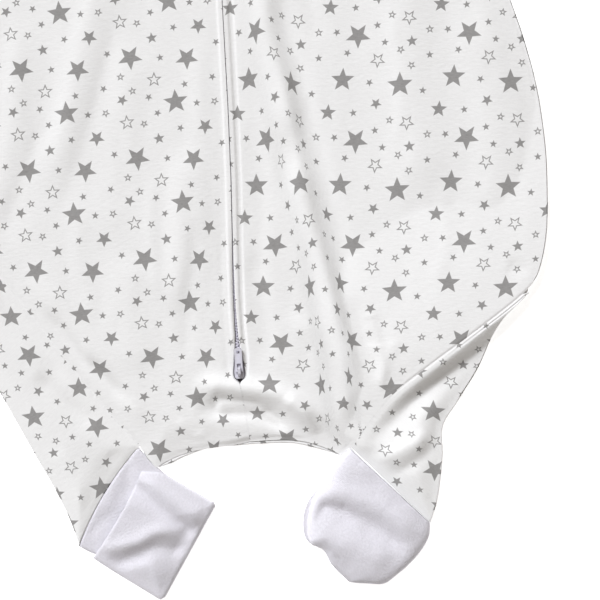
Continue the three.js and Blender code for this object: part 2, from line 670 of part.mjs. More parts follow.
const bridge = new THREE.ExtrudeGeometry(arch, { depth: 2 * archHalf, bevelEnabled: false })
  .applyMatrix4(new THREE.Matrix4().makeBasis(
    new THREE.Vector3(0, 1, 0),
    new THREE.Vector3(0, 0, 1),
    new THREE.Vector3(1, 0, 0),
  ))
  .translate(sliderX - archHalf, 0, 0);
add(
  "zip_slider",
  blocks([
    plate(shoulder, sliderFloor, sliderFloor + 0.8),
    plate(shoulder, topPlate, topPlate + plateWall),
    plate(wedge, sliderFloor + 0.4, topPlate + 0.4),
    bridge,
  ]),
  cloths.metal,
);

// Pull tab: a pin through the bridge's eye, two cheeks, and a plate with a hole near its end
const tabLow = pivotZ - tabWall / 2;
const cheekGap = archHalf + 0.35;
const tabEnd = pivotY + tabLong;
const tabShape = new THREE.Shape();
tabShape.moveTo(sliderX - tabHalf, pivotY - 0.6);
tabShape.lineTo(sliderX + tabHalf, pivotY - 0.6);
tabShape.lineTo(sliderX + tabHalf, tabEnd - 1.4);
tabShape.lineTo(sliderX + tabHalf - 1.2, tabEnd);
tabShape.lineTo(sliderX - tabHalf + 1.2, tabEnd);
tabShape.lineTo(sliderX - tabHalf, tabEnd - 1.4);
const cutSquare = (x0, y0, x1, y1) => {
  const path = new THREE.Path();
  path.moveTo(x0, y0);
  path.lineTo(x0, y1);
  path.lineTo(x1, y1);
  path.lineTo(x1, y0);
  return path;
};
tabShape.holes.push(cutSquare(sliderX - cheekGap, pivotY + 0.6, sliderX + cheekGap, pivotY + 5.4));
tabShape.holes.push(cutSquare(sliderX - 1.1, tabEnd - 4, sliderX + 1.1, tabEnd - 2));
const tab = new THREE.ExtrudeGeometry(tabShape, { depth: tabWall, bevelEnabled: false });
tab.translate(0, 0, tabLow);
add("zip_pull", blocks([tab]), cloths.metal);

// Neck and armhole bands
const neckLine = (side) => grids[side][grids[side].length - 1];
const neckRight = neckLine("right").filter((point, i) => i % 2 === 1 || i > 5);
const neckLeft = neckLine("left").filter((point, i) => i % 2 === 1 || i > 5);
add("neck_band_right", strip(neckRight, band, () => frontBase + 3.6, jersey, play), cloths.body);
add("neck_band_left", strip([...neckLeft].reverse(), band, () => frontBase + 3.6, jersey, play), cloths.body);
const backNeck = [[-60, 364.4], [-44, 357], [-20, 351], [0, 350], [20, 351], [44, 357], [60, 364.4]];
add("neck_band_back", strip(backNeck, band, () => 0, jersey, play), cloths.body);

for (const [name, side] of [["armhole_band_left", -1], ["armhole_band_right", 1]]) {
  const rows = upperRows.slice(5, 11).map(({ x, y }, i, all) => {
    const a = all[Math.max(0, i - 1)];
    const b = all[Math.min(all.length - 1, i + 1)];
    const run = Math.hypot(b.x - a.x, b.y - a.y);
    const [nx, ny] = [(b.y - a.y) / run, -(b.x - a.x) / run];
    return { x, y, nx, ny };
  });
  const sections = [];
  for (let k = 0; k <= 1; k += 1) {
    const out = play + 0.2 + k * band;
    sections.push(rows.map((row) => [side * (row.x + row.nx * out), row.y + row.ny * out]));
  }
  add(name, loop(sections, frontBase + 2.2 + jersey, jersey), cloths.body);
}

// Flattened loop of cloth between two lines of plan points, one layer on the other
function loop(lines, tall, thick) {
  const points = [];
  const faces = [];
  const starts = [];
  const length = lines[0].length;
  for (const layer of [0, 1]) {
    for (const line of lines) {
      const inset = layer * thick;
      const at = (i, z) => [line[i][0], line[i][1], z];
      const ends = (i, j) => {
        const [a, b] = [line[i], line[j]];
        const run = Math.hypot(b[0] - a[0], b[1] - a[1]);
        return [a[0] + ((b[0] - a[0]) * inset) / run, a[1] + ((b[1] - a[1]) * inset) / run];
      };
      starts.push(points.length);
      const first = ends(0, 1);
      const last = ends(length - 1, length - 2);
      const walk = [first, ...line.slice(1, -1), last];
      for (const [x, y] of walk) points.push([x, y, inset]);
      for (const [x, y] of [...walk].reverse()) points.push([x, y, tall - inset]);
    }
  }
  const count = 2 * length;
  const quad = (a, b, c, d) => faces.push([a, b, c], [a, c, d]);
  for (let k = 0; k < count; k += 1) {
    const n = (k + 1) % count;
    const [o0, o1, i0, i1] = starts;
    quad(o0 + k, o1 + k, o1 + n, o0 + n);
    quad(i0 + k, i0 + n, i1 + n, i1 + k);
    quad(o0 + k, o0 + n, i0 + n, i0 + k);
    quad(o1 + k, i1 + k, i1 + n, o1 + n);
  }
  return solid(points, faces);
}

export default bag;
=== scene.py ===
"""A baby's footed sleeping bag of star-printed jersey, lying on its back with its zip closed.

Lengths in the tables are in millimetres, in the garment's own frame: +X to the right as seen from
above, +Y towards the neck, +Z up, with the origin on the centre front line at half its length.
"""

import math

import bmesh
import bpy
import numpy as np
from bpy.props import FloatProperty, FloatVectorProperty, PointerProperty
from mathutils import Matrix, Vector, geometry, kdtree, noise


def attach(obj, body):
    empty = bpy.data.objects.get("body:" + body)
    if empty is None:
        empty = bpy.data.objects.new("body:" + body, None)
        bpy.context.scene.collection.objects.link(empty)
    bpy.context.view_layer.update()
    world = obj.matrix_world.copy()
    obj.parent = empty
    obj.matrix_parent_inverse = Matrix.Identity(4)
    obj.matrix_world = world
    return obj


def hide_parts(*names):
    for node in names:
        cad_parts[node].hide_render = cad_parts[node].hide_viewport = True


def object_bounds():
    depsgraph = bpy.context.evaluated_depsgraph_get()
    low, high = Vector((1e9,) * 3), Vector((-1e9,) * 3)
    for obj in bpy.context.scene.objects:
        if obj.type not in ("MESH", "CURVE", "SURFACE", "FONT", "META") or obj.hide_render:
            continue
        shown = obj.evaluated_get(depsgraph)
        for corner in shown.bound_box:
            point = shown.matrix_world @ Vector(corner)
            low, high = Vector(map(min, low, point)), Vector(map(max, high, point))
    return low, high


bl_info = {
    "name": "Footed sleeping bag",
    "version": (1, 0, 0),
    "blender": (4, 5, 0),
    "location": "3D View > Sidebar > Sleeping bag",
    "description": "Builds a baby's footed sleeping bag of star-printed jersey, piece by piece",
    "category": "Add Mesh",
}

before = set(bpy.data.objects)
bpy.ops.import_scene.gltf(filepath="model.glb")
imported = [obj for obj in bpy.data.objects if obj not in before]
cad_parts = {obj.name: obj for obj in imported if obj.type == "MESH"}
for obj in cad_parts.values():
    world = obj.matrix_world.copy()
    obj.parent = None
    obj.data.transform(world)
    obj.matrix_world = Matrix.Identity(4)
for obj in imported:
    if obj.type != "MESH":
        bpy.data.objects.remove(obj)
CAD_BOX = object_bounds()

MM = 0.001
RIGHT, LEFT = 1, -1
LAYER_PLAY = 0.3  # air between two layers of cloth
SEAM = 0.15  # half the gap where two pieces are sewn together
BAND = 8.0  # width of the neck and armhole bands
TAPE_UNDER, TAPE_WALL, TAPE_WIDTH = 2.9, 1.0, 11.5
COIL_UNDER, COIL_TALL = TAPE_UNDER + TAPE_WALL + LAYER_PLAY, 1.0
ZIP_TOP, SLIDER_TOP = 286.0, -183.0


def table(names, *rows):
    """Named columns, one row for each section"""
    return dict(zip(names.split(), np.array(rows, float).T))


# The zip line from the neck down: its side shift, and half the opening between the front edges
ZIP_LINE = table(
    "y x half",
    (300, 0, 0.25), (80, 0.4, 0.25), (0, -0.3, 0.3), (-50, -1.4, 0.3), (-84, -2.8, 0.35),
    (-112, -4.0, 0.45), (-136, -4.8, 0.7), (-152, -4.9, 0.9), (-166, -4.7, 1.2), (-173, -4.6, 1.7),
    (-179, -4.5, 2.8), (-184, -4.5, 3.3), (-189, -4.5, 4.1), (-193, -4.4, 4.4), (-195, -4.4, 4.0),
    (-196.5, -4.4, 2.9), (-198, -4.4, 1.0), (-199.5, -4.4, SEAM), (-222, -1.7, SEAM),
    (-243, 0, SEAM),
)

# Where the turned strip right of the zip ends in a groove: distance from the zip line
STRIP = table(
    "y reach",
    (60, 6.9), (-60, 6.7), (-144, 6.5), (-158, 6.1), (-169, 6.4), (-177, 6.6), (-184, 6.3),
    (-190, 5.5), (-197, 4.2),
)

# Rows of the upper front, the same on both halves: height on the zip line, then the outer edge
UPPER_ROWS = table(
    "centre x y",
    (67, 210, 67), (100, 200, 101), (135, 187, 140), (165, 172, 178), (190, 160, 207),
    (207, 150, 228), (222, 133, 246), (236, 121, 272), (250, 115, 302), (262, 114, 333),
    (271, 116, 352), (281, 92, 361), (291, 68, 368),
)
RIGHT_ROWS = table(
    "centre x y",
    (-242.2, 66.4, -256.6), (-235, 73.4, -251.6), (-225, 79.4, -244.4), (-212, 92, -228.4),
    (-201, 109, -212), (-187, 135, -194), (-171.5, 165, -174.6), (-155, 196, -153.8),
    (-143, 211.5, -141), (-130, 219, -128), (-105, 225, -104), (-72, 228, -70), (-38, 228.5, -38),
    (0, 225.5, 0), (35, 218.5, 36),
)
LEFT_ROWS = table(
    "centre x y",
    (-242.2, -69.5, -256.8), (-239.5, -76, -250), (-236, -80.3, -240.8), (-222, -92, -227),
    (-205, -108, -206), (-187, -124, -184), (-165, -140, -161), (-142, -156, -137),
    (-118, -172.5, -114), (-95, -190, -91), (-73, -208, -68), (-50, -223.5, -46), (-28, -228, -27),
    (5, -225.5, 5), (38, -218, 38),
)

LOWER_ROWS = {RIGHT: RIGHT_ROWS, LEFT: LEFT_ROWS}

# Leg panels, from the cuff to the hip: edge on the seam, then the outer edge
RIGHT_LEG = table(
    "sx sy ox oy",
    (73.7, -251.6, 127.2, -309.8), (79.7, -244.4, 134, -291.9), (92.3, -228.4, 139.4, -262),
    (109.3, -212, 141, -240), (135.3, -194, 153, -222.6), (150.5, -184.2, 169, -200),
    (165.3, -174.6, 181, -177), (180, -164.9, 189.5, -164.5), (196.2, -153.8, 202, -153.5),
    (204, -148.6, 209, -146.8),
)
LEFT_LEG = table(
    "sx sy ox oy",
    (-81.2, -241.0, -128.9, -310.6), (-92, -227, -135, -290), (-108, -206, -145, -266),
    (-124, -184, -158, -240), (-140, -161, -171, -213), (-156, -137, -184, -187),
    (-172.5, -114, -201, -160), (-190, -91, -217, -128), (-208, -68, -228, -94),
    (-223.3, -46.3, -230, -53),
)

LEGS = {RIGHT: RIGHT_LEG, LEFT: LEFT_LEG}

# The back's edge where it shows: at the neck, and at the crotch from the left leg to the right
BACK_NECK = [(-60, 364.4), (-44, 357), (-20, 351), (0, 350), (20, 351), (44, 357), (60, 364.4)]
BACK_CROTCH = [
    (-68, -257.2), (-58.5, -254.6), (-47, -250), (-30, -245.6), (0, -244.6),
    (24, -245.1), (35, -246.6), (46, -249.9), (57, -253.6), (65.2, -256.6),
]

# Cuff and foot cover sections, from the leg outward: left edge, right edge, bow of the section,
# and how far the lower layer shows past the upper one on the left
LEFT_CUFF = table(
    "lx ly rx ry bow lip",
    (-128.4, -311, -80.9, -241.9, 4, 0), (-122.4, -314.8, -74.4, -250.4, 3, 0),
    (-113, -319.5, -67.6, -257.6, 1, 0), (-98, -331, -55, -269, 0, 0), (-82, -342, -40, -281, 0, 0),
)
LEFT_COVER = table(
    "lx ly rx ry bow lip",
    (-119.4, -320, -79.5, -258.6, -2.5, 0), (-108, -328.5, -66, -260.8, -1, 0),
    (-96, -337, -50, -271, 0, 0), (-84.5, -345, -40, -277.6, 0, 0),
    (-76, -351, -32.5, -282.6, 0, 0), (-72.2, -353, -29.2, -284.4, 0, 0),
    (-68.4, -350.8, -28.6, -288.2, 0, 0),
)
RIGHT_CUFF = table(
    "lx ly rx ry bow lip",
    (70.5, -254.5, 124, -311.5, 0, 0), (60, -267.5, 120, -322, 0, 0), (49, -281, 109, -336, 0, 0),
)
RIGHT_COVER = table(
    "lx ly rx ry bow lip",
    (71.6, -251.9, 127, -310.7, 0, 0), (62.4, -260.2, 125.5, -320, 0, 0),
    (54.3, -271, 119, -330, 0, 0), (46.5, -280, 110, -339, 0, 1), (39.5, -288.5, 100, -346.5, 0, 3),
    (35.6, -298, 90.5, -352, 0, 4), (34.7, -309, 78, -351, 0, 4), (36.6, -317, 70, -350, 0, 2.5),
    (41, -322.6, 65, -348.6, 0, 0),
)

# Folds: height (below zero for a trough), spread left and right of the line, then its points
FRONT_FOLDS = [
    (3.0, 8, 10, [(20, 150), (31, 108), (32, 49), (41, 7), (48, -42)]),
    (3.8, 8, 9, [(44, -20), (51, -80), (61, -120), (69, -155), (77, -188), (84, -224)]),
    (1.2, 9, 8, [(30, -150), (52, -170), (62, -196), (76, -236)]),
    (2.6, 22, 17, [(126, 140), (134, 60), (138, -20), (132, -90)]),
    (1.8, 16, 18, [(178, 70), (190, 10), (192, -50), (180, -110)]),
    (-1.6, 9, 9, [(186, -112), (196, -122), (206, -130)]),
    (1.7, 15, 10, [(-80, 130), (-96, 75), (-108, 31), (-134, -57)]),
    (0.9, 14, 12, [(-60, 60), (-76, 10), (-86, -45), (-98, -100)]),
    (1.3, 14, 10, [(-146, 80), (-152, 24), (-166, -37), (-180, -76)]),
    (1.5, 12, 9, [(-34, -20), (-38, -67), (-43, -107), (-52, -150)]),
    (0.8, 8, 8, [(-21, 60), (-22, -10), (-24, -60), (-26, -110)]),
    (1.4, 10, 11, [(-160, -106), (-120, -158), (-92, -200), (-74, -232)]),
    (1.0, 16, 14, [(-70, -100), (-84, -140), (-76, -190)]),
    (3.9, 7, 8, [(-42, -197), (-22, -200), (-4, -203), (12, -206), (28, -212), (42, -224), (52, -242)]),
    (-3.0, 8, 7, [(-40, -215), (-18, -218), (-2, -220), (9, -223), (18, -229), (24, -238), (28, -250)]),
    (3.6, 13, 15, [(40, 250), (52, 190), (44, 140)]),
    (4, 14, 13, [(-44, 262), (-58, 200), (-66, 150)]),
    (3, 16, 18, [(92, 300), (84, 230), (110, 150)]),
    (3.2, 17, 15, [(-96, 310), (-102, 240), (-126, 160)]),
    (2.8, 11, 12, [(134, 226), (104, 206), (70, 214)]),
    (2.4, 12, 12, [(-136, 222), (-112, 192), (-70, 196)]),
]
# The deepest fold of the front, from the neck side down, where its right flank turns under
MAIN_FOLD = [
    (39, 78), (44, 41), (49, 4), (55, -33), (62, -70), (68, -100), (72, -136), (76, -173), (80, -228),
]
# Finer creases that lie on the folds of the front
FRONT_CREASES = [
    (-0.9, 5, 7, [(44, 92), (50, 41), (57, 4), (63, -33), (70, -70), (76, -100), (81, -140)]),
    (0.7, 4, 4, [(34, 60), (43, 0), (51, -50), (58, -96), (65, -136), (72, -180)]),
    (-0.8, 4, 6, [(80, -140), (88, -176), (95, -204), (96, -226)]),
    (0.9, 3, 5, [(92, -150), (98, -176), (100, -200), (96, -222)]),
    (-0.6, 5, 5, [(60, 96), (64, 70), (67, 44)]),
    (-0.5, 7, 5, [(-72, 85), (-96, 13), (-109, -22), (-130, -78)]),
    (-0.5, 6, 5, [(-132, 5), (-147, -27), (-163, -63), (-172, -92)]),
    (-0.6, 6, 5, [(-29, -75), (-33, -108), (-39, -136), (-43, -188)]),
    (-0.3, 6, 6, [(-80, 5), (-80, -32), (-83, -72)]),
    (-2.3, 6, 7, [(-150, -134), (-138, -149), (-120, -175), (-108, -184), (-92, -201), (-80, -214)]),
    (-0.5, 6, 7, [(16, -8), (19, -67), (14, -114), (11, -140)]),
    (-0.9, 6, 10, [(12, -100), (15, -140), (17, -170), (15, -194)]),
    (0.7, 2.5, 2.5, [(-15, -201), (-9, -201), (-2, -199), (6, -196)]),
    (0.7, 4, 4, [(-39, -232), (-33, -238), (-24, -244)]),
    (0.5, 3, 3, [(-52, -222), (-44, -232), (-37, -240)]),
    (0.5, 4, 4, [(0, -229), (18, -236), (34, -240)]),
    (-2.0, 6, 5, [(8, -222), (18, -229), (25, -238), (29, -250)]),
    (2.2, 5, 5, [(26, -210), (36, -218), (43, -229), (49, -244)]),
    (-0.8, 7, 5, [(-26, -206), (-14, -210), (-2, -213)]),
    (0.5, 5, 5, [(120, 70), (126, 20), (122, -40)]),
    (-0.5, 8, 8, [(94, -156), (95, -168), (95, -180)]),
    (-0.8, 5, 6, [(194, -126), (204, -130), (210, -134)]),
    (0.5, 5, 4, [(-58, -40), (-62, -90), (-60, -140)]),
    (0.5, 6, 6, [(-110, -60), (-116, -100), (-104, -150)]),
    (0.5, 6, 5, [(150, -60), (152, -104), (140, -140)]),
    (0.6, 5, 5, [(112, -172), (102, -192), (94, -212)]),
]
LEG_FOLDS = [
    (1.6, 8, 10, [(150, -222), (124, -252), (96, -274)]),
    (1.3, 12, 9, [(-196, -130), (-160, -178), (-132, -222), (-112, -262)]),
    (0.7, 8, 8, [(-205, -96), (-166, -146), (-138, -190)]),
    (0.8, 7, 7, [(-146, -238), (-132, -262), (-122, -286)]),
]
LEG_CREASES = [
    (-1.9, 6, 6, [(-182, -118), (-170, -134), (-161, -146), (-146, -164), (-132, -183), (-126, -192)]),
    (-0.9, 5, 5, [(-104, -244), (-96, -254), (-90, -264)]),
    (-1.5, 6, 7, [(-154, -182), (-143, -193), (-130, -206), (-116, -218), (-108, -226)]),
    (0.9, 8, 6, [(-186, -176), (-170, -206), (-156, -236), (-146, -262)]),
    (-2.0, 5, 5, [(142, -252), (126, -261), (110, -269), (92, -280)]),
    (2.0, 5, 5, [(136, -242), (120, -250), (104, -257), (86, -267)]),
    (-0.7, 5, 5, [(76, -252), (86, -262), (94, -272)]),
]
COVER_FOLDS = [
    (2.3, 5, 5, [(-120, -314), (-100, -312), (-84, -308), (-73, -303), (-58, -303), (-42, -303)]),
    (-2.4, 5, 6, [(-116, -329), (-98, -324), (-84, -320), (-73, -315), (-58, -317), (-42, -316)]),
    (3.4, 5, 6, [(-92, -246), (-79, -260), (-67, -272), (-55, -283), (-40, -297), (-26, -310)]),
    (-3.4, 5, 6, [(-99, -256), (-87, -269), (-75, -281), (-63, -292), (-48, -305), (-36, -316)]),
    (1.4, 8, 9, [(-100, -336), (-80, -330), (-60, -336), (-46, -330)]),
    (2.4, 8, 7, [(34, -277), (50, -280), (68, -285), (92, -297), (110, -312), (118, -324)]),
    (-3.0, 6, 8, [(36, -289), (46, -293), (63, -298), (86, -310), (100, -323), (106, -336)]),
    (2.8, 10, 12, [(34, -314), (50, -318), (68, -322), (84, -329), (98, -338)]),
]
COVER_CREASES = [
    (-0.5, 3, 4, [(-112, -321), (-97, -318), (-84, -314), (-73, -309), (-60, -309)]),
    (-0.7, 4, 5, [(-54, -338), (-62, -344), (-70, -350)]),
    (0.5, 4, 4, [(-104, -332), (-92, -328), (-78, -324)]),
    (-0.9, 4, 4, [(46, -284), (52, -291), (60, -294), (70, -297)]),
    (-0.6, 3, 3, [(54, -290), (48, -296), (43, -305)]),
    (-0.8, 7, 6, [(43, -320), (50, -325), (57, -333), (66, -344)]),
    (-0.5, 3, 3, [(71, -254), (75, -258), (80, -265)]),
    (0.5, 5, 5, [(98, -296), (108, -308), (112, -322)]),
]
CUFF_CREASES = [
    (-0.9, 4, 4, [(-88, -240), (-90, -256), (-91, -280)]),
    (0.6, 4, 4, [(-98, -262), (-104, -276), (-110, -288)]),
    (-0.7, 4, 4, [(-106, -288), (-116, -298), (-122, -305)]),
]

# How the print lies on each piece: where its first star is, and one repeat across and up
LAYS = {
    "front_right": ((97.3, 46.2), (80.6, -2.7), (6.8, 76.1)),
    "front_left": ((-38.1, 6.5), (-79.5, -3.8), (0.7, -73.3)),
    "leg_panel_left": ((-110.5, -224.0), (-60.2, -43.7), (45.8, -54.8)),
    "leg_panel_right": ((133.0, -271.5), (-59.8, 52.9), (-50.9, -46.0)),
    "back_panel": ((-30, -238), (80.7, 2), (-2, 76.4)),
}

# One repeat of the print: middle of each star, its outer radius, 1 for a tip that points up,
# 1 for a bare outline, and a small turn in degrees
REPEAT = (80.7, 76.4)
STARS = [
    (0, 0, 8.7, 0, 0, 1), (13.9, 7.1, 2.4, 1, 0, 6), (24.4, 14.2, 2.7, 1, 1, -8),
    (36.8, 11.9, 5.3, 0, 1, 2), (19.6, -5.5, 2.4, 1, 0, -4), (39.2, -5.4, 3.8, 1, 0, 5),
    (31.2, -11.4, 2.8, 0, 1, 7), (14.7, -18.3, 5.3, 0, 1, -3), (-7.5, -12.4, 2.4, 0, 0, 9),
    (-28.3, -15.6, 2.4, 1, 0, 3), (39.2, -23, 2.8, 0, 1, -5), (-28.7, 3, 2.8, 1, 1, 4),
    (-15.5, 2.8, 2.4, 0, 0, -7), (-10.5, -31.8, 8.1, 1, 0, -2), (31.2, -36.8, 8.8, 1, 0, 2),
    (9.1, -34.4, 2.4, 0, 0, 5), (47.9, -41.5, 2.4, 1, 0, -6), (14.2, -49.9, 3.8, 0, 0, 4),
    (-20.7, -55.3, 5.6, 1, 0, -4), (-2.2, -56.1, 2.4, 1, 0, 8),
]
NOTCH = 0.43  # radius of a star's inner corners, as a share of its outer radius
STAR_GAIN = 1.04  # how much larger the stars are printed than they are charted
INK_RUN = 0.15  # how far the ink has run past the drawn edge
OUTLINE_STROKE = 0.42


# ---------------------------------------------------------------- settings


def length(name, description, default):
    return FloatProperty(name=name, description=description, default=default, unit="LENGTH")


def colour(name, description, *default):
    return FloatVectorProperty(name=name, description=description, default=default, subtype="COLOR", size=3)


class SLEEPBAG_PG_cloth(bpy.types.PropertyGroup):
    """Sizes and colours of the cloth"""

    wall: length("Jersey wall", "Thickness of the body cloth", 1.5 * MM)
    rib: length("Rib wall", "Thickness of the cuff knit", 1.1 * MM)
    pillow: length("Loft", "How far the front stands off the back", 2.2 * MM)
    step: length("Mesh step", "Distance between points of the cloth", 2.2 * MM)
    relief: length("Soft relief", "Height of the uneven rumples", 0.5 * MM)
    white: colour("Ground", "Colour of the jersey", 0.825, 0.823, 0.822)
    ink: colour("Stars", "Colour of the printed stars", 0.30, 0.294, 0.29)
    knit: colour("Cuffs", "Colour of the cuff knit", 0.78, 0.765, 0.825)


class SLEEPBAG_PG_zip(bpy.types.PropertyGroup):
    """Sizes and colours of the zip"""

    pitch: length("Tooth pitch", "Distance between two teeth of the coil", 1.2 * MM)
    metal: colour("Slider", "Colour of the painted slider", 0.66, 0.65, 0.74)
    coil: colour("Coil", "Colour of the coil and tape", 0.66, 0.64, 0.73)


class SLEEPBAG_PG_stage(bpy.types.PropertyGroup):
    """Where the camera stands and how strong the lights are"""

    height: length("Camera height", "Camera above the floor", 1.4)
    width: length("Field", "Width of floor that the camera sees", 0.438)
    roll: FloatProperty(
        name="Camera roll", description="Turn of the camera about its line of sight",
        default=math.radians(-3.66), subtype="ANGLE",
    )
    key: FloatProperty(name="Key light", description="Strength of the soft key", default=3.65, min=0)
    fill: FloatProperty(name="Fill light", description="Strength of the even fill", default=0.32, min=0)


def cloth_size(name):
    """A length of the cloth settings, in millimetres"""
    return getattr(bpy.context.scene.sleepbag_cloth, name) / MM


# ---------------------------------------------------------------- curves and heights


def ease(start, end, value):
    """0 before the start, 1 past the end and a smooth slope between them"""
    t = np.clip((value - start) / (end - start), 0, 1)
    return t * t * (3 - 2 * t)


def bell(gap, width):
    """1 on a line, fading to nothing over about twice a width"""
    return np.exp(-((gap / width) ** 2))


def dome(share):
    """Quarter circle from 0 at an edge to 1 at one radius inside it"""
    return np.sqrt(1 - (1 - np.clip(share, 0, 1)) ** 2)


def unit(runs):
    return runs / np.maximum(np.linalg.norm(runs, axis=-1, keepdims=True), 1e-9)


def to_right(runs):
    """Plan directions turned a quarter to the right"""
    return np.stack([runs[..., 1], -runs[..., 0]], axis=-1)


def run_of(line):
    """Distance along a line at each of its points"""
    return np.concatenate([[0], np.cumsum(np.hypot(*np.diff(line, axis=0).T))])


def zip_at(column, y):
    return np.interp(y, ZIP_LINE["y"][::-1], ZIP_LINE[column][::-1])


def through(values, t):
    """Smooth curve through a column or a list of points, at row numbers t"""
    values = np.asarray(values, float)
    t = np.asarray(t, float)
    i = np.minimum(len(values) - 2, np.floor(t).astype(int))
    f = (t - i).reshape(t.shape + (1,) * (values.ndim - 1))
    p, q, r, s = (values[np.clip(i + k, 0, len(values) - 1)] for k in (-1, 0, 1, 2))
    pull, push = (r - p) / 2, (s - q) / 2
    return q + f * (pull + f * (3 * (r - q) - 2 * pull - push + f * (2 * (q - r) + pull + push)))


def soften(line, parts=6):
    return through(line, np.linspace(0, len(line) - 1, (len(line) - 1) * parts + 1))


def evenly(line, step):
    """Points of a line, about one step apart"""
    run = run_of(line)
    places = np.linspace(0, run[-1], max(2, round(run[-1] / step) + 1))
    return np.stack([np.interp(places, run, column) for column in line.T], axis=1)


def nearest(line, x, y):
    """Distance to a line of points, side (left above zero) and share of its length"""
    line = np.asarray(line, float)
    before = run_of(line)
    gap = np.full(np.shape(x), np.inf)
    side = np.zeros(np.shape(x))
    share = np.zeros(np.shape(x))
    for (ax, ay), (bx, by), start, end in zip(line[:-1], line[1:], before[:-1], before[1:]):
        run = end - start
        dx, dy = (bx - ax) / run, (by - ay) / run
        t = np.clip((x - ax) * dx + (y - ay) * dy, 0, run)
        here = np.hypot(x - ax - dx * t, y - ay - dy * t)
        closer = here < gap
        gap = np.where(closer, here, gap)
        side = np.where(closer, dx * (y - ay) - dy * (x - ax), side)
        share = np.where(closer, (start + t) / before[-1], share)
    return gap, side, share


def drawn_to(line, x, y):
    """The nearest points of a line to plan places"""
    run = run_of(line)
    share = nearest(line, x, y)[2] * run[-1]
    return np.interp(share, run, line[:, 0]), np.interp(share, run, line[:, 1])


def folded(folds, x, y):
    """Height of a list of folds at plan places; each fades out at both its ends"""
    z = np.zeros(np.shape(x))
    for tall, left, right, line in folds:
        gap, side, share = nearest(soften(line), x, y)
        ends = ease(0, 0.22, share) * (1 - ease(0.78, 1, share))
        z += tall * ends * bell(gap, np.where(side > 0, left, right))
    return z


def rumpled(x, y, across, along, seed):
    """Uneven soft relief between -1 and 1, longer one way than the other"""
    places = np.stack([x / across, y / along, np.full(np.shape(x), seed)], axis=-1)
    return np.array([noise.noise(Vector(p)) for p in places.reshape(-1, 3)]).reshape(np.shape(x))


# ---------------------------------------------------------------- meshes

# Turns of a rounded edge, and how far inside its outline it starts as a share of half the wall
EDGE_TURNS = [math.radians(degrees) for degrees in (45, 90, 135)]
EDGE_INSET = 0.9
SEWN_OUT = 0.13  # how far a sewn edge reaches across the gap to its neighbour


def build_mesh(name, points, faces, cloth, merge=False):
    """A closed mesh in metres with its cloth coordinates, all in millimetres here"""
    mesh = bpy.data.meshes.new(name)
    mesh.from_pydata((np.asarray(points) * MM).tolist(), [], [list(map(int, f)) for f in faces])
    layer = mesh.uv_layers.new(name="cloth")
    corner = np.empty(len(mesh.loops), np.int32)
    mesh.loops.foreach_get("vertex_index", corner)
    layer.data.foreach_set("uv", (np.asarray(cloth)[corner] * MM).astype(np.float32).ravel())
    work = bmesh.new()
    work.from_mesh(mesh)
    if merge:
        bmesh.ops.remove_doubles(work, verts=work.verts, dist=0.002 * MM)
        bmesh.ops.dissolve_degenerate(work, edges=work.edges, dist=0.001 * MM)
    bmesh.ops.recalc_face_normals(work, faces=work.faces)
    work.to_mesh(mesh)
    work.free()
    mesh.polygons.foreach_set("use_smooth", [True] * len(mesh.polygons))
    piece = bpy.data.objects.new(name, mesh)
    bpy.context.scene.collection.objects.link(piece)
    return piece


def walls(loops):
    """Faces between each closed loop of point numbers and the next"""
    return [
        np.stack([one, np.roll(one, -1), np.roll(two, -1), two], axis=1)
        for one, two in zip(loops[:-1], loops[1:])
    ]


def rim_of(rows, columns):
    ring = [(0, c) for c in range(columns)] + [(r, columns - 1) for r in range(1, rows)]
    ring += [(rows - 1, c) for c in range(columns - 2, -1, -1)] + [(r, 0) for r in range(rows - 2, 0, -1)]
    return np.array(ring).T


def outward(ring):
    """Unit normals of a closed ring of plan points, pointing out of it"""
    normals = unit(to_right(np.roll(ring, -1, axis=0) - np.roll(ring, 1, axis=0)))
    area = np.sum(ring[:, 0] * np.roll(ring[:, 1], -1) - np.roll(ring[:, 0], -1) * ring[:, 1])
    return normals if area > 0 else -normals


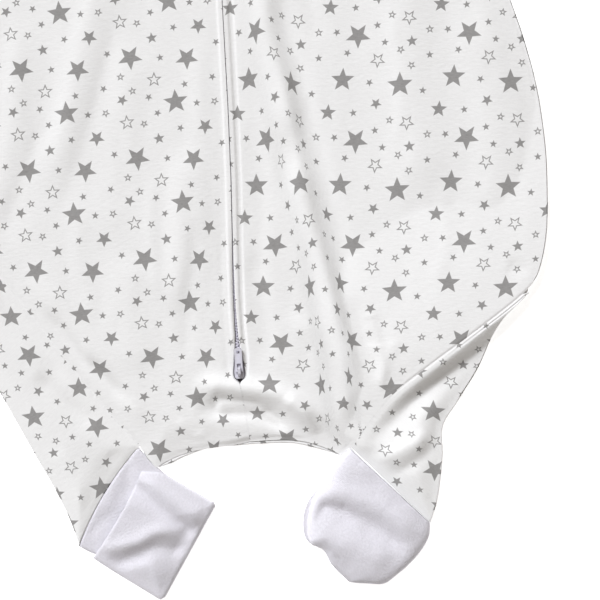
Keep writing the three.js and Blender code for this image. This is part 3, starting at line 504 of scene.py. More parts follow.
def shell(name, top, thick, cloth, sewn=None):
    """Cloth wall under a grid of surface points, with rounded edges inside its outline.

    Where sewn(x, y) is 1 the edge is drawn up square to its neighbour in place of rounded.
    """
    rows, columns = top.shape[:2]
    r, c = rim_of(rows, columns)
    top, outline = top.copy(), top[r, c]
    out = outward(outline[:, :2])
    thick = np.broadcast_to(thick, (rows, columns))
    half = thick[r, c, None] / 2
    joined = (sewn(*outline[:, :2].T) if sewn else np.zeros(len(r)))[:, None]
    inset = half * EDGE_INSET * (1 - 0.95 * joined)
    outline[:, :2] += out * SEWN_OUT * joined
    top[r, c, :2] = outline[:, :2] - out * inset
    under = top.copy()
    under[..., 2] -= thick
    points = [top.reshape(-1, 3), under.reshape(-1, 3)]
    for turn in EDGE_TURNS:
        loop = outline.copy()
        loop[:, :2] -= out * inset * (1 - math.sin(turn))
        loop[:, 2] += (half * math.cos(turn) - half)[:, 0]
        points.append(loop)
    spots = [cloth.reshape(-1, 2)] * 2 + [cloth[r, c]] * len(EDGE_TURNS)
    count = rows * columns
    grid = np.arange(count).reshape(rows, columns)
    a, b = grid[:-1, :-1].ravel(), grid[:-1, 1:].ravel()
    d, e = grid[1:, 1:].ravel(), grid[1:, :-1].ravel()
    edge = grid[r, c]
    loops = 2 * count + np.arange(len(EDGE_TURNS) * len(edge)).reshape(-1, len(edge))
    faces = [np.stack([a, b, d, e], axis=1), np.stack([a, e, d, b], axis=1) + count]
    faces += walls([edge, *loops, edge + count])
    piece = build_mesh(name, np.concatenate(points), np.concatenate(faces), np.concatenate(spots))
    square = np.zeros(len(piece.data.vertices), bool)
    square[edge[joined[:, 0] > 0.5]] = True
    ends = np.empty(2 * len(piece.data.edges), np.int32)
    piece.data.edges.foreach_get("vertices", ends)
    piece.data.edges.foreach_set("use_edge_sharp", square[ends.reshape(-1, 2)].all(axis=1))
    return piece


def taken_up(plan, side):
    """How far folds and the gathered crotch draw a front's cloth along, at plan places"""
    x, y = plan[..., 0], plan[..., 1]
    if side == LEFT:
        near = 1 - ease(0, 38, np.abs(x - zip_at("x", y)))
        gathered = 1.4 + 7.5 * np.clip((-115 - y) / 125, 0, 1) ** 2
        return np.stack([-5.4 * near * ease(10, -110, y), gathered], axis=-1)
    gap, left_of, _ = nearest(soften(MAIN_FOLD), x, y)
    gap = np.where(left_of > 0, gap, -gap)
    hidden = 0.52 * (1 - ease(-8, 4, gap)) + 0.48 * (1 - ease(-28, -15, gap))
    crest = 7 * bell(gap + 10, np.where(gap > -10, 11, 15))
    gathered = 1 + 9.5 * np.clip((-70 - y) / 150, 0, 1.2) ** 1.5
    return np.stack([np.maximum(0, 14.7 - 0.095 * y) * hidden, gathered + 0.7 * hidden + crest], axis=-1)


def printed(lay, plan, side=0):
    """Cloth coordinates of plan places, measured along the print's own repeat"""
    star, across, up = (np.array(v, float) for v in LAYS[lay])
    if side:
        plan = plan - taken_up(plan, side)
    return (plan - star) @ np.linalg.inv(np.stack([across, up])) * np.array(REPEAT)


def dress(piece, material, node=None):
    """Gives a piece its cloth and its place on the garment, and hides the CAD part that it stands in for"""
    piece.data.materials.append(material)
    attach(piece, "garment")
    if node:
        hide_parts(node)


# ---------------------------------------------------------------- shader nodes

VECTOR = "NodeSocketVector"
FLOAT = "NodeSocketFloat"
PER_MM = 1 / MM


def feed(tree, socket, value):
    """Links a socket to another one, or sets its own value"""
    if isinstance(value, bpy.types.NodeSocket):
        tree.links.new(value, socket)
    else:
        socket.default_value = value


def sums(tree, operation, *values):
    node = tree.nodes.new("ShaderNodeMath")
    node.operation = operation
    for socket, value in zip(node.inputs, values):
        feed(tree, socket, value)
    return node.outputs[0]


def vectors(tree, operation, *values, output="Vector"):
    node = tree.nodes.new("ShaderNodeVectorMath")
    node.operation = operation
    for socket, value in zip(node.inputs, values):
        feed(tree, socket, value)
    return node.outputs[output]


def scaled(tree, vector, factor):
    """A vector or colour times a value"""
    node = tree.nodes.new("ShaderNodeVectorMath")
    node.operation = "SCALE"
    feed(tree, node.inputs[0], vector)
    feed(tree, node.inputs["Scale"], factor)
    return node.outputs["Vector"]


def parts_of(tree, vector):
    node = tree.nodes.new("ShaderNodeSeparateXYZ")
    tree.links.new(vector, node.inputs[0])
    return node.outputs["X"], node.outputs["Y"]


def rising(tree, value, low, high):
    """Smooth step from 0 to 1 between two values"""
    node = tree.nodes.new("ShaderNodeMapRange")
    node.interpolation_type = "SMOOTHSTEP"
    for name, number in (("Value", value), ("From Min", low), ("From Max", high)):
        feed(tree, node.inputs[name], number)
    return node.outputs["Result"]


def noise_at(tree, vector, scale, detail=2.0, roughness=0.5):
    node = tree.nodes.new("ShaderNodeTexNoise")
    for label, value in (("Vector", vector), ("Scale", scale), ("Detail", detail), ("Roughness", roughness)):
        feed(tree, node.inputs[label], value)
    return node.outputs["Fac"]


def group(name, inputs, outputs):
    """An empty shader group with named sockets, and its tree's two ends"""
    tree = bpy.data.node_groups.new(name, "ShaderNodeTree")
    for label, kind, default in inputs:
        made = tree.interface.new_socket(name=label, in_out="INPUT", socket_type=kind)
        if default is not None:
            made.default_value = default
    for label in outputs:
        tree.interface.new_socket(name=label, in_out="OUTPUT", socket_type=FLOAT)
    return tree, tree.nodes.new("NodeGroupInput").outputs, tree.nodes.new("NodeGroupOutput").inputs


def place(tree, name, build, **values):
    """Puts a group into a tree with its own values; the group itself is built once"""
    node = tree.nodes.new("ShaderNodeGroup")
    node.node_tree = bpy.data.node_groups.get(name) or build(name)
    for label, value in values.items():
        feed(tree, node.inputs[label], value)
    return node.outputs[0]


def star_group(name):
    """Signed distance to the nearest edge of one five-pointed star of the repeat"""
    inputs = [("Cloth", VECTOR, None), ("Middle", VECTOR, None)]
    inputs += [("Radius", FLOAT, 5.0), ("Tip", FLOAT, 0.0), ("Bare", FLOAT, 0.0)]
    tree, given, result = group(name, inputs, ["Distance"])
    fifth = math.pi / 5
    lean = math.atan2(1 - NOTCH * math.cos(fifth), NOTCH * math.sin(fifth))
    shares = vectors(tree, "SUBTRACT", given["Cloth"], given["Middle"])
    shares = vectors(tree, "DIVIDE", shares, (*REPEAT, 1))
    wrapped = vectors(tree, "WRAP", shares, (0.5, 0.5, 0.5), (-0.5, -0.5, -0.5))
    offset = vectors(tree, "MULTIPLY", wrapped, (*REPEAT, 0))
    x, y = parts_of(tree, offset)
    angle = sums(tree, "ARCTAN2", y, x)
    folded_angle = sums(tree, "PINGPONG", sums(tree, "SUBTRACT", angle, given["Tip"]), fifth)
    reach = vectors(tree, "LENGTH", offset, output="Value")
    along = sums(tree, "MULTIPLY", reach, sums(tree, "COSINE", sums(tree, "SUBTRACT", folded_angle, lean)))
    radius = sums(tree, "MULTIPLY", given["Radius"], STAR_GAIN)
    filled = sums(tree, "MULTIPLY_ADD", radius, -math.cos(lean), along)
    stroke = sums(tree, "ABSOLUTE", sums(tree, "ADD", filled, OUTLINE_STROKE / 2))
    stroke = sums(tree, "SUBTRACT", stroke, OUTLINE_STROKE / 2)
    both = tree.nodes.new("ShaderNodeMix")
    for label, value in (("Factor", given["Bare"]), ("A", filled), ("B", stroke)):
        tree.links.new(value, both.inputs[label])
    tree.links.new(both.outputs["Result"], result["Distance"])
    return tree


def print_group(name):
    """Mask of the printed stars from cloth coordinates in metres"""
    tree, given, result = group(name, [("Cloth", VECTOR, None), ("Softness", FLOAT, 0.2)], ["Ink"])
    cloth = scaled(tree, given["Cloth"], PER_MM)
    closest = None
    for x, y, radius, up, bare, turn in STARS:
        values = {"Cloth": cloth, "Middle": (x, y, 0), "Radius": radius, "Bare": float(bare)}
        star = place(tree, "Star", star_group, Tip=math.radians((90 if up else -90) + turn), **values)
        closest = star if closest is None else sums(tree, "MINIMUM", closest, star)
    past = sums(tree, "SUBTRACT", closest, INK_RUN)
    inside = sums(tree, "MULTIPLY", given["Softness"], -1.0)
    tree.links.new(rising(tree, past, given["Softness"], inside), result["Ink"])
    return tree


def heather_group(name):
    """Uneven streaks along the courses of the knit, around 1"""
    inputs = [("Cloth", VECTOR, None), ("Length", FLOAT, 3.0), ("Depth", FLOAT, 0.15)]
    tree, given, result = group(name, inputs, ["Tone"])
    cloth = vectors(tree, "MULTIPLY", given["Cloth"], (PER_MM, PER_MM, 1))
    x, y = parts_of(tree, cloth)
    drawn = tree.nodes.new("ShaderNodeCombineXYZ")
    tree.links.new(sums(tree, "DIVIDE", x, given["Length"]), drawn.inputs["X"])
    tree.links.new(sums(tree, "MULTIPLY", y, 1.6), drawn.inputs["Y"])
    streaks = sums(tree, "MULTIPLY", noise_at(tree, drawn.outputs[0], 1.0, 3.0, 0.6), 0.7)
    patches = sums(tree, "MULTIPLY", noise_at(tree, cloth, 0.35), 0.3)
    swing = sums(tree, "SUBTRACT", sums(tree, "ADD", streaks, patches), 0.5)
    swing = sums(tree, "MULTIPLY", swing, 4.0)
    tree.links.new(sums(tree, "MULTIPLY_ADD", swing, given["Depth"], 1.0), result["Tone"])
    return tree


def knit_group(name):
    """Height of plain knit: columns of slanted loops, with a little fuzz"""
    inputs = [("Cloth", VECTOR, None), ("Wale", FLOAT, 0.8), ("Course", FLOAT, 0.6), ("Fuzz", FLOAT, 0.4)]
    tree, given, result = group(name, inputs, ["Height"])
    x, y = parts_of(tree, vectors(tree, "MULTIPLY", given["Cloth"], (PER_MM, PER_MM, 1)))
    limb = sums(tree, "PINGPONG", sums(tree, "DIVIDE", x, given["Wale"]), 0.5)
    slant = sums(tree, "ADD", sums(tree, "DIVIDE", y, given["Course"]), limb)
    loops = sums(tree, "SINE", sums(tree, "MULTIPLY", slant, 2 * math.pi))
    column = sums(tree, "SINE", sums(tree, "MULTIPLY", limb, 2 * math.pi))
    height = sums(tree, "MULTIPLY_ADD", loops, 0.35, column)
    fuzz = sums(tree, "MULTIPLY", noise_at(tree, given["Cloth"], 2600.0, 3.0, 0.7), given["Fuzz"])
    tree.links.new(sums(tree, "ADD", height, fuzz), result["Height"])
    return tree


def mottle_group(name):
    """Uneven value from low to low plus swing"""
    inputs = [("Places", VECTOR, None), ("Scale", FLOAT, 900.0), ("Detail", FLOAT, 2.0)]
    inputs += [("Swing", FLOAT, 1.0), ("Low", FLOAT, 0.0)]
    tree, given, result = group(name, inputs, ["Tone"])
    spots = noise_at(tree, given["Places"], given["Scale"], given["Detail"])
    tree.links.new(sums(tree, "MULTIPLY_ADD", spots, given["Swing"], given["Low"]), result["Tone"])
    return tree


def mottle(tree, places, scale, swing=1.0, low=0.0, detail=2.0):
    values = {"Scale": scale, "Detail": detail, "Swing": swing, "Low": low}
    return place(tree, "Mottle", mottle_group, Places=places, **values)


def heather(tree, cloth, length_mm, depth):
    return place(tree, "Heather", heather_group, Cloth=cloth, Length=length_mm, Depth=depth)


def knit(tree, cloth, wale, course, fuzz):
    return place(tree, "Knit", knit_group, Cloth=cloth, Wale=wale, Course=course, Fuzz=fuzz)


# ---------------------------------------------------------------- materials


def made_once(build):
    """A material that is built at its first use"""

    def give():
        return bpy.data.materials.get(build.__name__) or build(build.__name__)

    return give


def new_material(name, roughness, sheen=0.0, specular=0.3):
    material = bpy.data.materials.new(name)
    material.use_nodes = True
    shader = material.node_tree.nodes["Principled BSDF"]
    shader.inputs["Roughness"].default_value = roughness
    shader.inputs["Sheen Weight"].default_value = sheen
    shader.inputs["Sheen Roughness"].default_value = 0.6
    shader.inputs["Specular IOR Level"].default_value = specular
    return material, material.node_tree, shader


def cloth_coordinates(tree):
    node = tree.nodes.new("ShaderNodeUVMap")
    node.uv_map = "cloth"
    return node.outputs["UV"]


def own_coordinates(tree):
    return tree.nodes.new("ShaderNodeTexCoord").outputs["Object"]


def raised(tree, shader, height, distance, strength=1.0):
    """Relief of a height, its depth in millimetres"""
    bump = tree.nodes.new("ShaderNodeBump")
    bump.inputs["Distance"].default_value = distance * MM
    bump.inputs["Strength"].default_value = strength
    tree.links.new(height, bump.inputs["Height"])
    tree.links.new(bump.outputs["Normal"], shader.inputs["Normal"])


def coloured(tree, shader, tint, tone):
    tree.links.new(scaled(tree, tuple(tint), tone), shader.inputs["Base Color"])


def mixed_colour(tree, factor, a, b):
    node = tree.nodes.new("ShaderNodeMix")
    node.data_type = "RGBA"
    feed(tree, node.inputs["Factor"], factor)
    for label, value in (("A", a), ("B", b)):
        socket = next(s for s in node.inputs if s.name == label and s.type == "RGBA")
        feed(tree, socket, value)
    return next(s for s in node.outputs if s.type == "RGBA")


@made_once
def printed_jersey(name):
    """White jersey with grey stars"""
    sizes = bpy.context.scene.sleepbag_cloth
    material, tree, shader = new_material(name, 0.92, 0.08, 0.2)
    cloth = cloth_coordinates(tree)
    ink = place(tree, "Star print", print_group, Cloth=cloth, Softness=0.22)
    grey = scaled(tree, tuple(sizes.ink), heather(tree, cloth, 3.2, 0.16))
    white = scaled(tree, tuple(sizes.white), heather(tree, cloth, 6.0, 0.045))
    tree.links.new(mixed_colour(tree, ink, white, grey), shader.inputs["Base Color"])
    slubs = noise_at(tree, vectors(tree, "MULTIPLY", cloth, (0.45, 1.0, 1.0)), 420.0, 4.0, 0.6)
    height = sums(tree, "MULTIPLY_ADD", slubs, 5.0, knit(tree, cloth, 0.85, 0.7, 0.5))
    raised(tree, shader, height, 0.05)
    return material


@made_once
def cuff_knit(name):
    """Brushed white rib knit with a lilac cast"""
    material, tree, shader = new_material(name, 0.95, 0.1, 0.1)
    cloth = cloth_coordinates(tree)
    tufts = noise_at(tree, cloth, 620.0, 4.0, 0.65)
    tone = sums(tree, "MULTIPLY_ADD", tufts, 0.3, 0.85)
    tone = sums(tree, "MULTIPLY", heather(tree, cloth, 1.0, 0.03), tone)
    coloured(tree, shader, bpy.context.scene.sleepbag_cloth.knit, tone)
    height = sums(tree, "MULTIPLY_ADD", tufts, 6.0, knit(tree, cloth, 1.25, 1.1, 0.6))
    raised(tree, shader, height, 0.13)
    return material


@made_once
def woven_tape(name):
    """Tape of the zip, in a fine herringbone"""
    material, tree, shader = new_material(name, 0.85, 0.05)
    cloth = cloth_coordinates(tree)
    coloured(tree, shader, bpy.context.scene.sleepbag_zip.coil, heather(tree, cloth, 1.5, 0.05))
    raised(tree, shader, knit(tree, cloth, 0.9, 0.45, 0.3), 0.06)
    return material


@made_once
def coil_plastic(name):
    """Satin plastic of the coil's teeth"""
    material, tree, shader = new_material(name, 0.42, 0.0, 0.5)
    places = own_coordinates(tree)
    coloured(tree, shader, bpy.context.scene.sleepbag_zip.coil, mottle(tree, places, 900.0, 0.16, 0.92))
    raised(tree, shader, mottle(tree, places, 3000.0), 0.02, 0.5)
    return material


@made_once
def painted_metal(name):
    """Painted slider, with paint worn a little at the edges"""
    material, tree, shader = new_material(name, 0.32, 0.0, 0.5)
    places = own_coordinates(tree)
    paint = tuple(bpy.context.scene.sleepbag_zip.metal)
    paint = scaled(tree, paint, mottle(tree, places, 420.0, 0.18, 0.91, 3.0))
    pointed = tree.nodes.new("ShaderNodeNewGeometry").outputs["Pointiness"]
    worn = sums(tree, "MULTIPLY", rising(tree, pointed, 0.53, 0.6), mottle(tree, places, 800.0))
    base = mixed_colour(tree, worn, paint, (0.5, 0.49, 0.52, 1))
    tree.links.new(base, shader.inputs["Base Color"])
    tree.links.new(mottle(tree, places, 1500.0, 0.2, 0.24), shader.inputs["Roughness"])
    raised(tree, shader, mottle(tree, places, 1800.0), 0.015, 0.4)
    return material


@made_once
def thread(name):
    """Sewing thread"""
    material, tree, shader = new_material(name, 0.8, 0.1)
    tone = mottle(tree, own_coordinates(tree), 2500.0, 0.2, 0.9)
    coloured(tree, shader, bpy.context.scene.sleepbag_cloth.white, tone)
    return material


# ---------------------------------------------------------------- fronts

OVER_TAPE = COIL_UNDER + 0.05  # underside of a front over the zip tape, and over the coil
OVER_COIL = COIL_UNDER + COIL_TALL + LAYER_PLAY
# Where a form of the front comes in: from and to a height on the garment
SHOULDERS = (175, 225)
NECK_CURVE = (190, 291)
CROTCH_CURVE = (-215, -242)
ROLLED_HEM = (-215, -235)
BELOW_TAPE = (-226, -212)
SLIDER_PLACE = (-176, -166)
PLACKET_END = (-200, -194)
CENTRE_SEAM = (-199, -201)
# The same, from and to a distance off the zip line
BESIDE_TAPE = (15.2, 23)
BESIDE_COIL = (3.2, 7)
CREASES_OFF_ZIP = (3, 14)
# The same, from and to a distance off the front's edge, the hem's fold or a seam line
FROM_EDGE = (0, 24)
ROUNDED_RIM = (0, 4.5)
CREASES_OFF_EDGE = (2, 16)
OFF_HEM = (8, 150)
OFF_SEAM = (3, 1.5)
# Distances of a front's grid columns from the zip line, and of its last ones from the outer edge
BY_ZIP = np.concatenate([np.arange(0, 9, 0.75), np.arange(9, 16, 1.4)])
BY_EDGE = np.array([5.4, 4.4, 3.6, 2.9, 2.2, 1.6, 1.0, 0.5, 0])
WIDEST_FRONT = 190


def outer_rows(side):
    """Outer edge of a front, one point for each of its rows"""
    lower = LOWER_ROWS[side]
    x = np.concatenate([lower["x"], UPPER_ROWS["x"] * side])
    return np.stack([x, np.concatenate([lower["y"], UPPER_ROWS["y"]])], axis=1)


def seam_between(side, first, last):
    """Outer edge of a front between two of its rows, in short runs"""
    return through(outer_rows(side), np.linspace(first, last, (last - first) * 8 + 1))


LEG_SEAM = {RIGHT: seam_between(RIGHT, 1, 8), LEFT: seam_between(LEFT, 2, 11)}


def front_grid(side, step):
    """Plan points of one front half: rows from the zip line to the outer edge"""
    centre = np.concatenate([LOWER_ROWS[side]["centre"], UPPER_ROWS["centre"]])
    edge = outer_rows(side)
    dense = np.linspace(0, len(centre) - 1, 40 * len(centre))
    pace = np.hypot(*np.diff(through(edge, dense), axis=0).T)
    pace = np.maximum(np.abs(np.diff(through(centre, dense))), pace)
    run = np.concatenate([[0], np.cumsum(pace)])
    t = np.interp(np.linspace(0, run[-1], round(run[-1] / step) + 1), run, dense)
    middle = through(centre, t)[:, None]
    out_x, out_y = through(edge, t).T[..., None]
    in_x = zip_at("x", middle) + side * zip_at("half", middle)
    width = np.abs(out_x - side * SEAM - in_x)
    reach = np.minimum(1, width / 60)
    lead = BY_ZIP[-1] * reach
    far = round((WIDEST_FRONT - BY_ZIP[-1]) / step)
    between = lead + (width - BY_EDGE[0] - 1.2 - lead) * np.arange(1, far + 1) / far
    along = np.concatenate([BY_ZIP * reach, between, width - BY_EDGE], axis=1)
    s = along / width
    neck = 0.9 * ease(*NECK_CURVE, middle)
    rise = s + (1 - np.sqrt(1 - 0.96 * s * s) + 0.2 * s**3 - s) * neck
    bow = 4.4 + 3.2 * s if side == RIGHT else 7.5 * s
    crotch = bow * np.sin(math.pi * s) * ease(*CROTCH_CURVE, middle)
    return np.stack([in_x + side * along, middle + (out_y - middle) * rise + crotch], axis=-1)


def hem_stand(share):
    """How far the right hem stands off the back, along its seam from the crotch to the hip"""
    return 1.2 * ease(0, 0.04, share) + 6.8 * ease(0.06, 0.5, share) * (1 - 0.35 * ease(0.8, 1, share))


def hem_groove(gap, share):
    """Groove of the right leg's seam, which the hem's fold shows from its middle on"""
    return 0.45 * ease(0.2, 0.4, share) * bell(gap, 0.9)


def left_groove(x, y):
    return 0.3 * bell(nearest(LEG_SEAM[LEFT], x, y)[0], 1.1)


def front_heights(grid, side):
    """Top surface of one front half"""
    x, y = grid[..., 0], grid[..., 1]
    wall = cloth_size("wall")
    base = wall + LAYER_PLAY
    away = np.abs(x - zip_at("x", y))
    rim = np.concatenate([grid[0], grid[1:, -1], grid[-1, -2::-1]])
    edge = nearest(np.concatenate([rim[:-1:3], rim[-1:]]), x, y)[0]
    free = ease(*FROM_EDGE, edge)
    rolled = ease(-30, -8, x) * (1 - ease(24, 44, x)) * ease(*ROLLED_HEM, y)
    stand = (0.7 + rolled) * ease(*ROUNDED_RIM, edge) + cloth_size("pillow") * free
    z = base + np.maximum((OVER_TAPE - base) * ease(*SHOULDERS, y), stand)
    z += folded(FRONT_FOLDS, x, y) * free
    tape = ease(*BELOW_TAPE, y) * (1 - ease(*BESIDE_TAPE, away))
    coil = ease(*SLIDER_PLACE, y) * (1 - ease(*BESIDE_COIL, away))
    z = np.maximum(z, base + (OVER_TAPE - base) * tape)
    z = np.maximum(z, base + (OVER_COIL - base) * coil)
    if side == RIGHT:
        gap, _, share = nearest(LEG_SEAM[RIGHT], x, y)
        z = np.maximum(z, base + 0.5 + hem_stand(share) * (1 - ease(*OFF_HEM, gap)))
        z -= hem_groove(gap, share)
    else:
        z -= left_groove(x, y)
    rumples = rumpled(x, y, 26, 62, 3.1 + side) + 0.35 * rumpled(x, y, 9, 24, 7.7 + side)
    fine = folded(FRONT_CREASES, x, y) + cloth_size("relief") * rumples
    return np.maximum(base, z + fine * ease(*CREASES_OFF_EDGE, edge) * ease(*CREASES_OFF_ZIP, away)) + wall


def placket(away, y, side):
    """Relief of the folded edge beside the zip: a strip that falls away to the groove along it"""
    shown = ease(*PLACKET_END, y)
    turned = -0.9 * bell(away, 1.5) * shown * ease(-60, -130, y)
    if side == LEFT:
        return turned - 0.25 * bell(away - 8.5, 2.2) * shown * ease(-60, -120, y)
    reach = np.interp(y, STRIP["y"][::-1], STRIP["reach"][::-1])
    deep = 0.55 + 0.55 * ease(-110, -150, y) - 0.3 * ease(40, 200, y)
    strip = np.clip(away / reach, 0, 1) ** 1.5 * (1 - ease(0, 1.3, away - reach))
    return 0.5 * turned - deep * strip * shown


def joined_to(line, x, y):
    """1 beside a seam line and 0 from 3 mm away"""
    return ease(*OFF_SEAM, nearest(line, x, y)[0])


def lay_front(side, name):
    wall = cloth_size("wall")
    grid = front_grid(side, cloth_size("step"))

    def sewn(x, y):
        beside = ease(6, 4, np.abs(x - zip_at("x", y)))
        centre = beside * np.maximum(ease(*CENTRE_SEAM, y), 0.6 * ease(-120, -90, y))
        seams = [centre, joined_to(LEG_SEAM[side], x, y), joined_to(grid[0], x, y)]
        return np.max(seams, axis=0)

    away = np.abs(grid[..., 0] - zip_at("x", grid[..., 1]))
    dip = np.maximum(placket(away, grid[..., 1], side), 0.5 - wall)
    top = np.dstack([grid, front_heights(grid, side) + dip])
    piece = shell(name, top, wall + dip, printed(name, grid, side), sewn)
    dress(piece, printed_jersey(), name)


class SLEEPBAG_OT_fronts(bpy.types.Operator):
    """Lay both front halves, with their folds and the turned edges beside the zip"""

    bl_idname = "sleepbag.fronts"
    bl_label = "Fronts"

    def execute(self, context):
        lay_front(RIGHT, "front_right")
        lay_front(LEFT, "front_left")
        return {"FINISHED"}


# ---------------------------------------------------------------- leg panels and back

BY_LEG_SEAM = np.array([0, 0.5, 1.0, 1.5, 2.0, 2.5, 3.0, 3.6, 4.4, 5.4, 6.8])
WIDEST_LEG = 74
HEM_CREST = 3.4  # how far inside the seam the leg begins to fall away under the hem's fold
BACK_STEP = 3.0
BACK_GRID = 6.0
BACK_CLOSE = (1.0, 1.4, 1.9, 2.4, 3.0, 3.7)
BACK_LIP = 1.65  # how far the back's edge stands up past the front's hem at the crotch


def leg_grid(side, step):
    """Plan points of one leg panel: rows from the front's seam to the leg's outer edge"""
    rows = LEGS[side]
    length_mm = np.hypot(np.diff(rows["sx"]), np.diff(rows["sy"])).sum()
    t = np.linspace(0, len(rows["sx"]) - 1, round(length_mm / step))
    sx, sy, ox, oy = (through(rows[k], t)[:, None] for k in ("sx", "sy", "ox", "oy"))
    sx, sy = drawn_to(LEG_SEAM[side], sx, sy)
    width = np.hypot(ox - sx, oy - sy)
    columns = round(WIDEST_LEG / step)
    close = BY_LEG_SEAM * np.minimum(1, width / 28)
    rest = close[:, -1:] + (width - SEAM - close[:, -1:]) * np.arange(1, columns + 1) / columns
    s = (SEAM + np.concatenate([close, rest], axis=1)) / width
    bow = 16 * s * (1 - s) * (1 - ease(0, 1.5, t))[:, None] / width if side == LEFT else 0 * s
    return np.stack([sx + (ox - sx) * s + (oy - sy) * bow, sy + (oy - sy) * s - (ox - sx) * bow], axis=-1)


def leg_heights(grid, side):
    """Top surface of one leg panel"""
    x, y = grid[..., 0], grid[..., 1]
    r, c = rim_of(*grid.shape[:2])
    ring = grid[r, c]
    edge = nearest(np.concatenate([ring[::2], ring[:1]]), x, y)[0]
    wall = cloth_size("wall")
    base = wall + LAYER_PLAY
    free = ease(0, 20, edge)
    z = cloth_size("pillow") + folded(LEG_FOLDS + LEG_CREASES, x, y)
    z += cloth_size("relief") * 0.7 * rumpled(x, y, 18, 22, 12.5 + side)
    if side == LEFT:
        return np.maximum(base, base + 0.5 * ease(0, 4, edge) + z * free) - left_groove(x, y) + wall
    gap, _, share = nearest(LEG_SEAM[RIGHT], x, y)
    free = free * ease(10, 28, gap + 14 * (1 - ease(0, 0.25, share)))
    crest = HEM_CREST - 1.2 * ease(0.5, 0.8, share)
    bank = (0.5 + hem_stand(share)) * (1 - ease(crest, crest + 12, gap))
    bank += 1.3 * (1 - ease(0.5, 12, nearest(grid[0], x, y)[0])) * (0.4 + 0.6 * ease(0, 0.15, share))
    bank -= hem_groove(gap, share) + 0.45 * ease(0.5, 0.7, share) * bell(gap - 2.2, 0.6)
    z += 1.2 * ease(16, 34, gap)
    return np.maximum(base, base + z * free) + bank + wall


def lay_leg_panel(side, name):
    grid = leg_grid(side, cloth_size("step"))
    end = grid[0] if side == RIGHT else grid[0, :2]

    def sewn(x, y):
        return np.maximum(joined_to(grid[:, 0], x, y), joined_to(end, x, y))

    top = np.dstack([grid, leg_heights(grid, side)])
    piece = shell(name, top, cloth_size("wall"), printed(name, grid), sewn)
    dress(piece, printed_jersey(), name)


class SLEEPBAG_OT_leg_panels(bpy.types.Operator):
    """Lay the panel of each leg between the front's slanting seam and the leg's outer edge"""

    bl_idname = "sleepbag.leg_panels"
    bl_label = "Leg panels"

    def execute(self, context):
        lay_leg_panel(RIGHT, "leg_panel_right")
        lay_leg_panel(LEFT, "leg_panel_left")
        return {"FINISHED"}


def back_outline():
    """Plan outline of the back, both legs and the crotch included"""
    right, left = (leg_grid(side, BACK_STEP) for side in (RIGHT, LEFT))
    hip_right, hip_left = (front_grid(side, BACK_STEP)[:, -1] for side in (RIGHT, LEFT))
    parts = [
        right[:, -1],
        hip_right[hip_right[:, 1] > -143],
        soften(BACK_NECK[1:-1][::-1]),
        hip_left[hip_left[:, 1] > -46][::-1],
        left[::-1, -1],
        left[0, -2::-1],
        soften(BACK_CROTCH),
        right[0, :-1],
    ]
    return np.concatenate(parts)


def flat_cloth(name, outline, thick, fine, lip):
    """Cloth lying flat inside a closed plan outline, with rounded edges.

    Where fine(x, y) holds it has closer points near its edge, and lip(x, y) lifts its top there.
    """
    outline = evenly(np.concatenate([outline, outline[:1]]), 2.2)[:-1]
    out = outward(outline)
    half = thick / 2
    inner = outline - out * half * EDGE_INSET
    low, high = inner.min(axis=0), inner.max(axis=0)
    across, along = np.meshgrid(*(np.arange(*span, BACK_GRID) for span in zip(low, high)))
    inside = np.stack([across.ravel(), along.ravel()], axis=1)
    inside = inside[nearest(np.concatenate([inner, inner[:1]]), *inside.T)[0] > 1.5]
    close = [outline - out * reach for reach in BACK_CLOSE]
    close = [loop[fine(*loop.T)] for loop in close]
    spots = [Vector(p) for p in np.concatenate([inner, *close, inside])]
    count = len(inner)
    filled = geometry.delaunay_2d_cdt(spots, [], [list(range(count))], 1, 1e-5)
    plan = np.array([tuple(p) for p in filled[0]])
    place_of = {source: k for k, sources in enumerate(filled[3]) for source in sources}
    ring = np.array([place_of[k] for k in range(count)])
    level = thick + 0.25 * rumpled(*plan.T, 14, 20, 31.0)
    level[ring] = thick
    points = [np.column_stack([plan, level + lip(*plan.T)]), np.column_stack([plan, 0 * level])]
    for turn in EDGE_TURNS:
        loop = outline - out * half * EDGE_INSET * (1 - math.sin(turn))
        points.append(np.column_stack([loop, np.full(count, half + half * math.cos(turn))]))
    points = np.concatenate(points)
    faces = [list(f) for f in filled[2]] + [[v + len(plan) for v in reversed(f)] for f in filled[2]]
    loops = 2 * len(plan) + np.arange(len(EDGE_TURNS) * count).reshape(-1, count)
    faces += np.concatenate(walls([ring, *loops, ring + len(plan)])).tolist()
    return build_mesh(name, points, faces, printed(name, points[:, :2]))


class SLEEPBAG_OT_back(bpy.types.Operator):
    """Lay the back, which shows at the crotch, the neck and along the legs"""

    bl_idname = "sleepbag.back"
    bl_label = "Back"

    def execute(self, context):
        left, right = (front_grid(side, BACK_STEP)[0] for side in (LEFT, RIGHT))
        hem = np.concatenate([left[::-1], right])

        def at_crotch(x, y):
            return (y < -236) & (np.abs(x + 2) < 72)

        def lip(x, y):
            return np.where(at_crotch(x, y), BACK_LIP * ease(0, 0.7, np.interp(x, *hem.T) - y), 0)

        piece = flat_cloth("back_panel", back_outline(), cloth_size("wall"), at_crotch, lip)
        dress(piece, printed_jersey(), "back_panel")
        return {"FINISHED"}


# ---------------------------------------------------------------- cuffs and foot covers

KNIT_STEP = 1.6
COVER_PUFF = 5.2
BESIDE_LIP = 0.25
EVEN_SHARE = 0.55  # the rest of the spacing round a tube draws together at its two edges
UPPER_ROLL, LOWER_ROLL = 3.2, 1.6  # radius of the rolled edge above and below
FOLDS_FROM_EDGE = (0, 11)
SLACK_FROM_MOUTH = (2, 16)
LEAST_WALL = 0.7


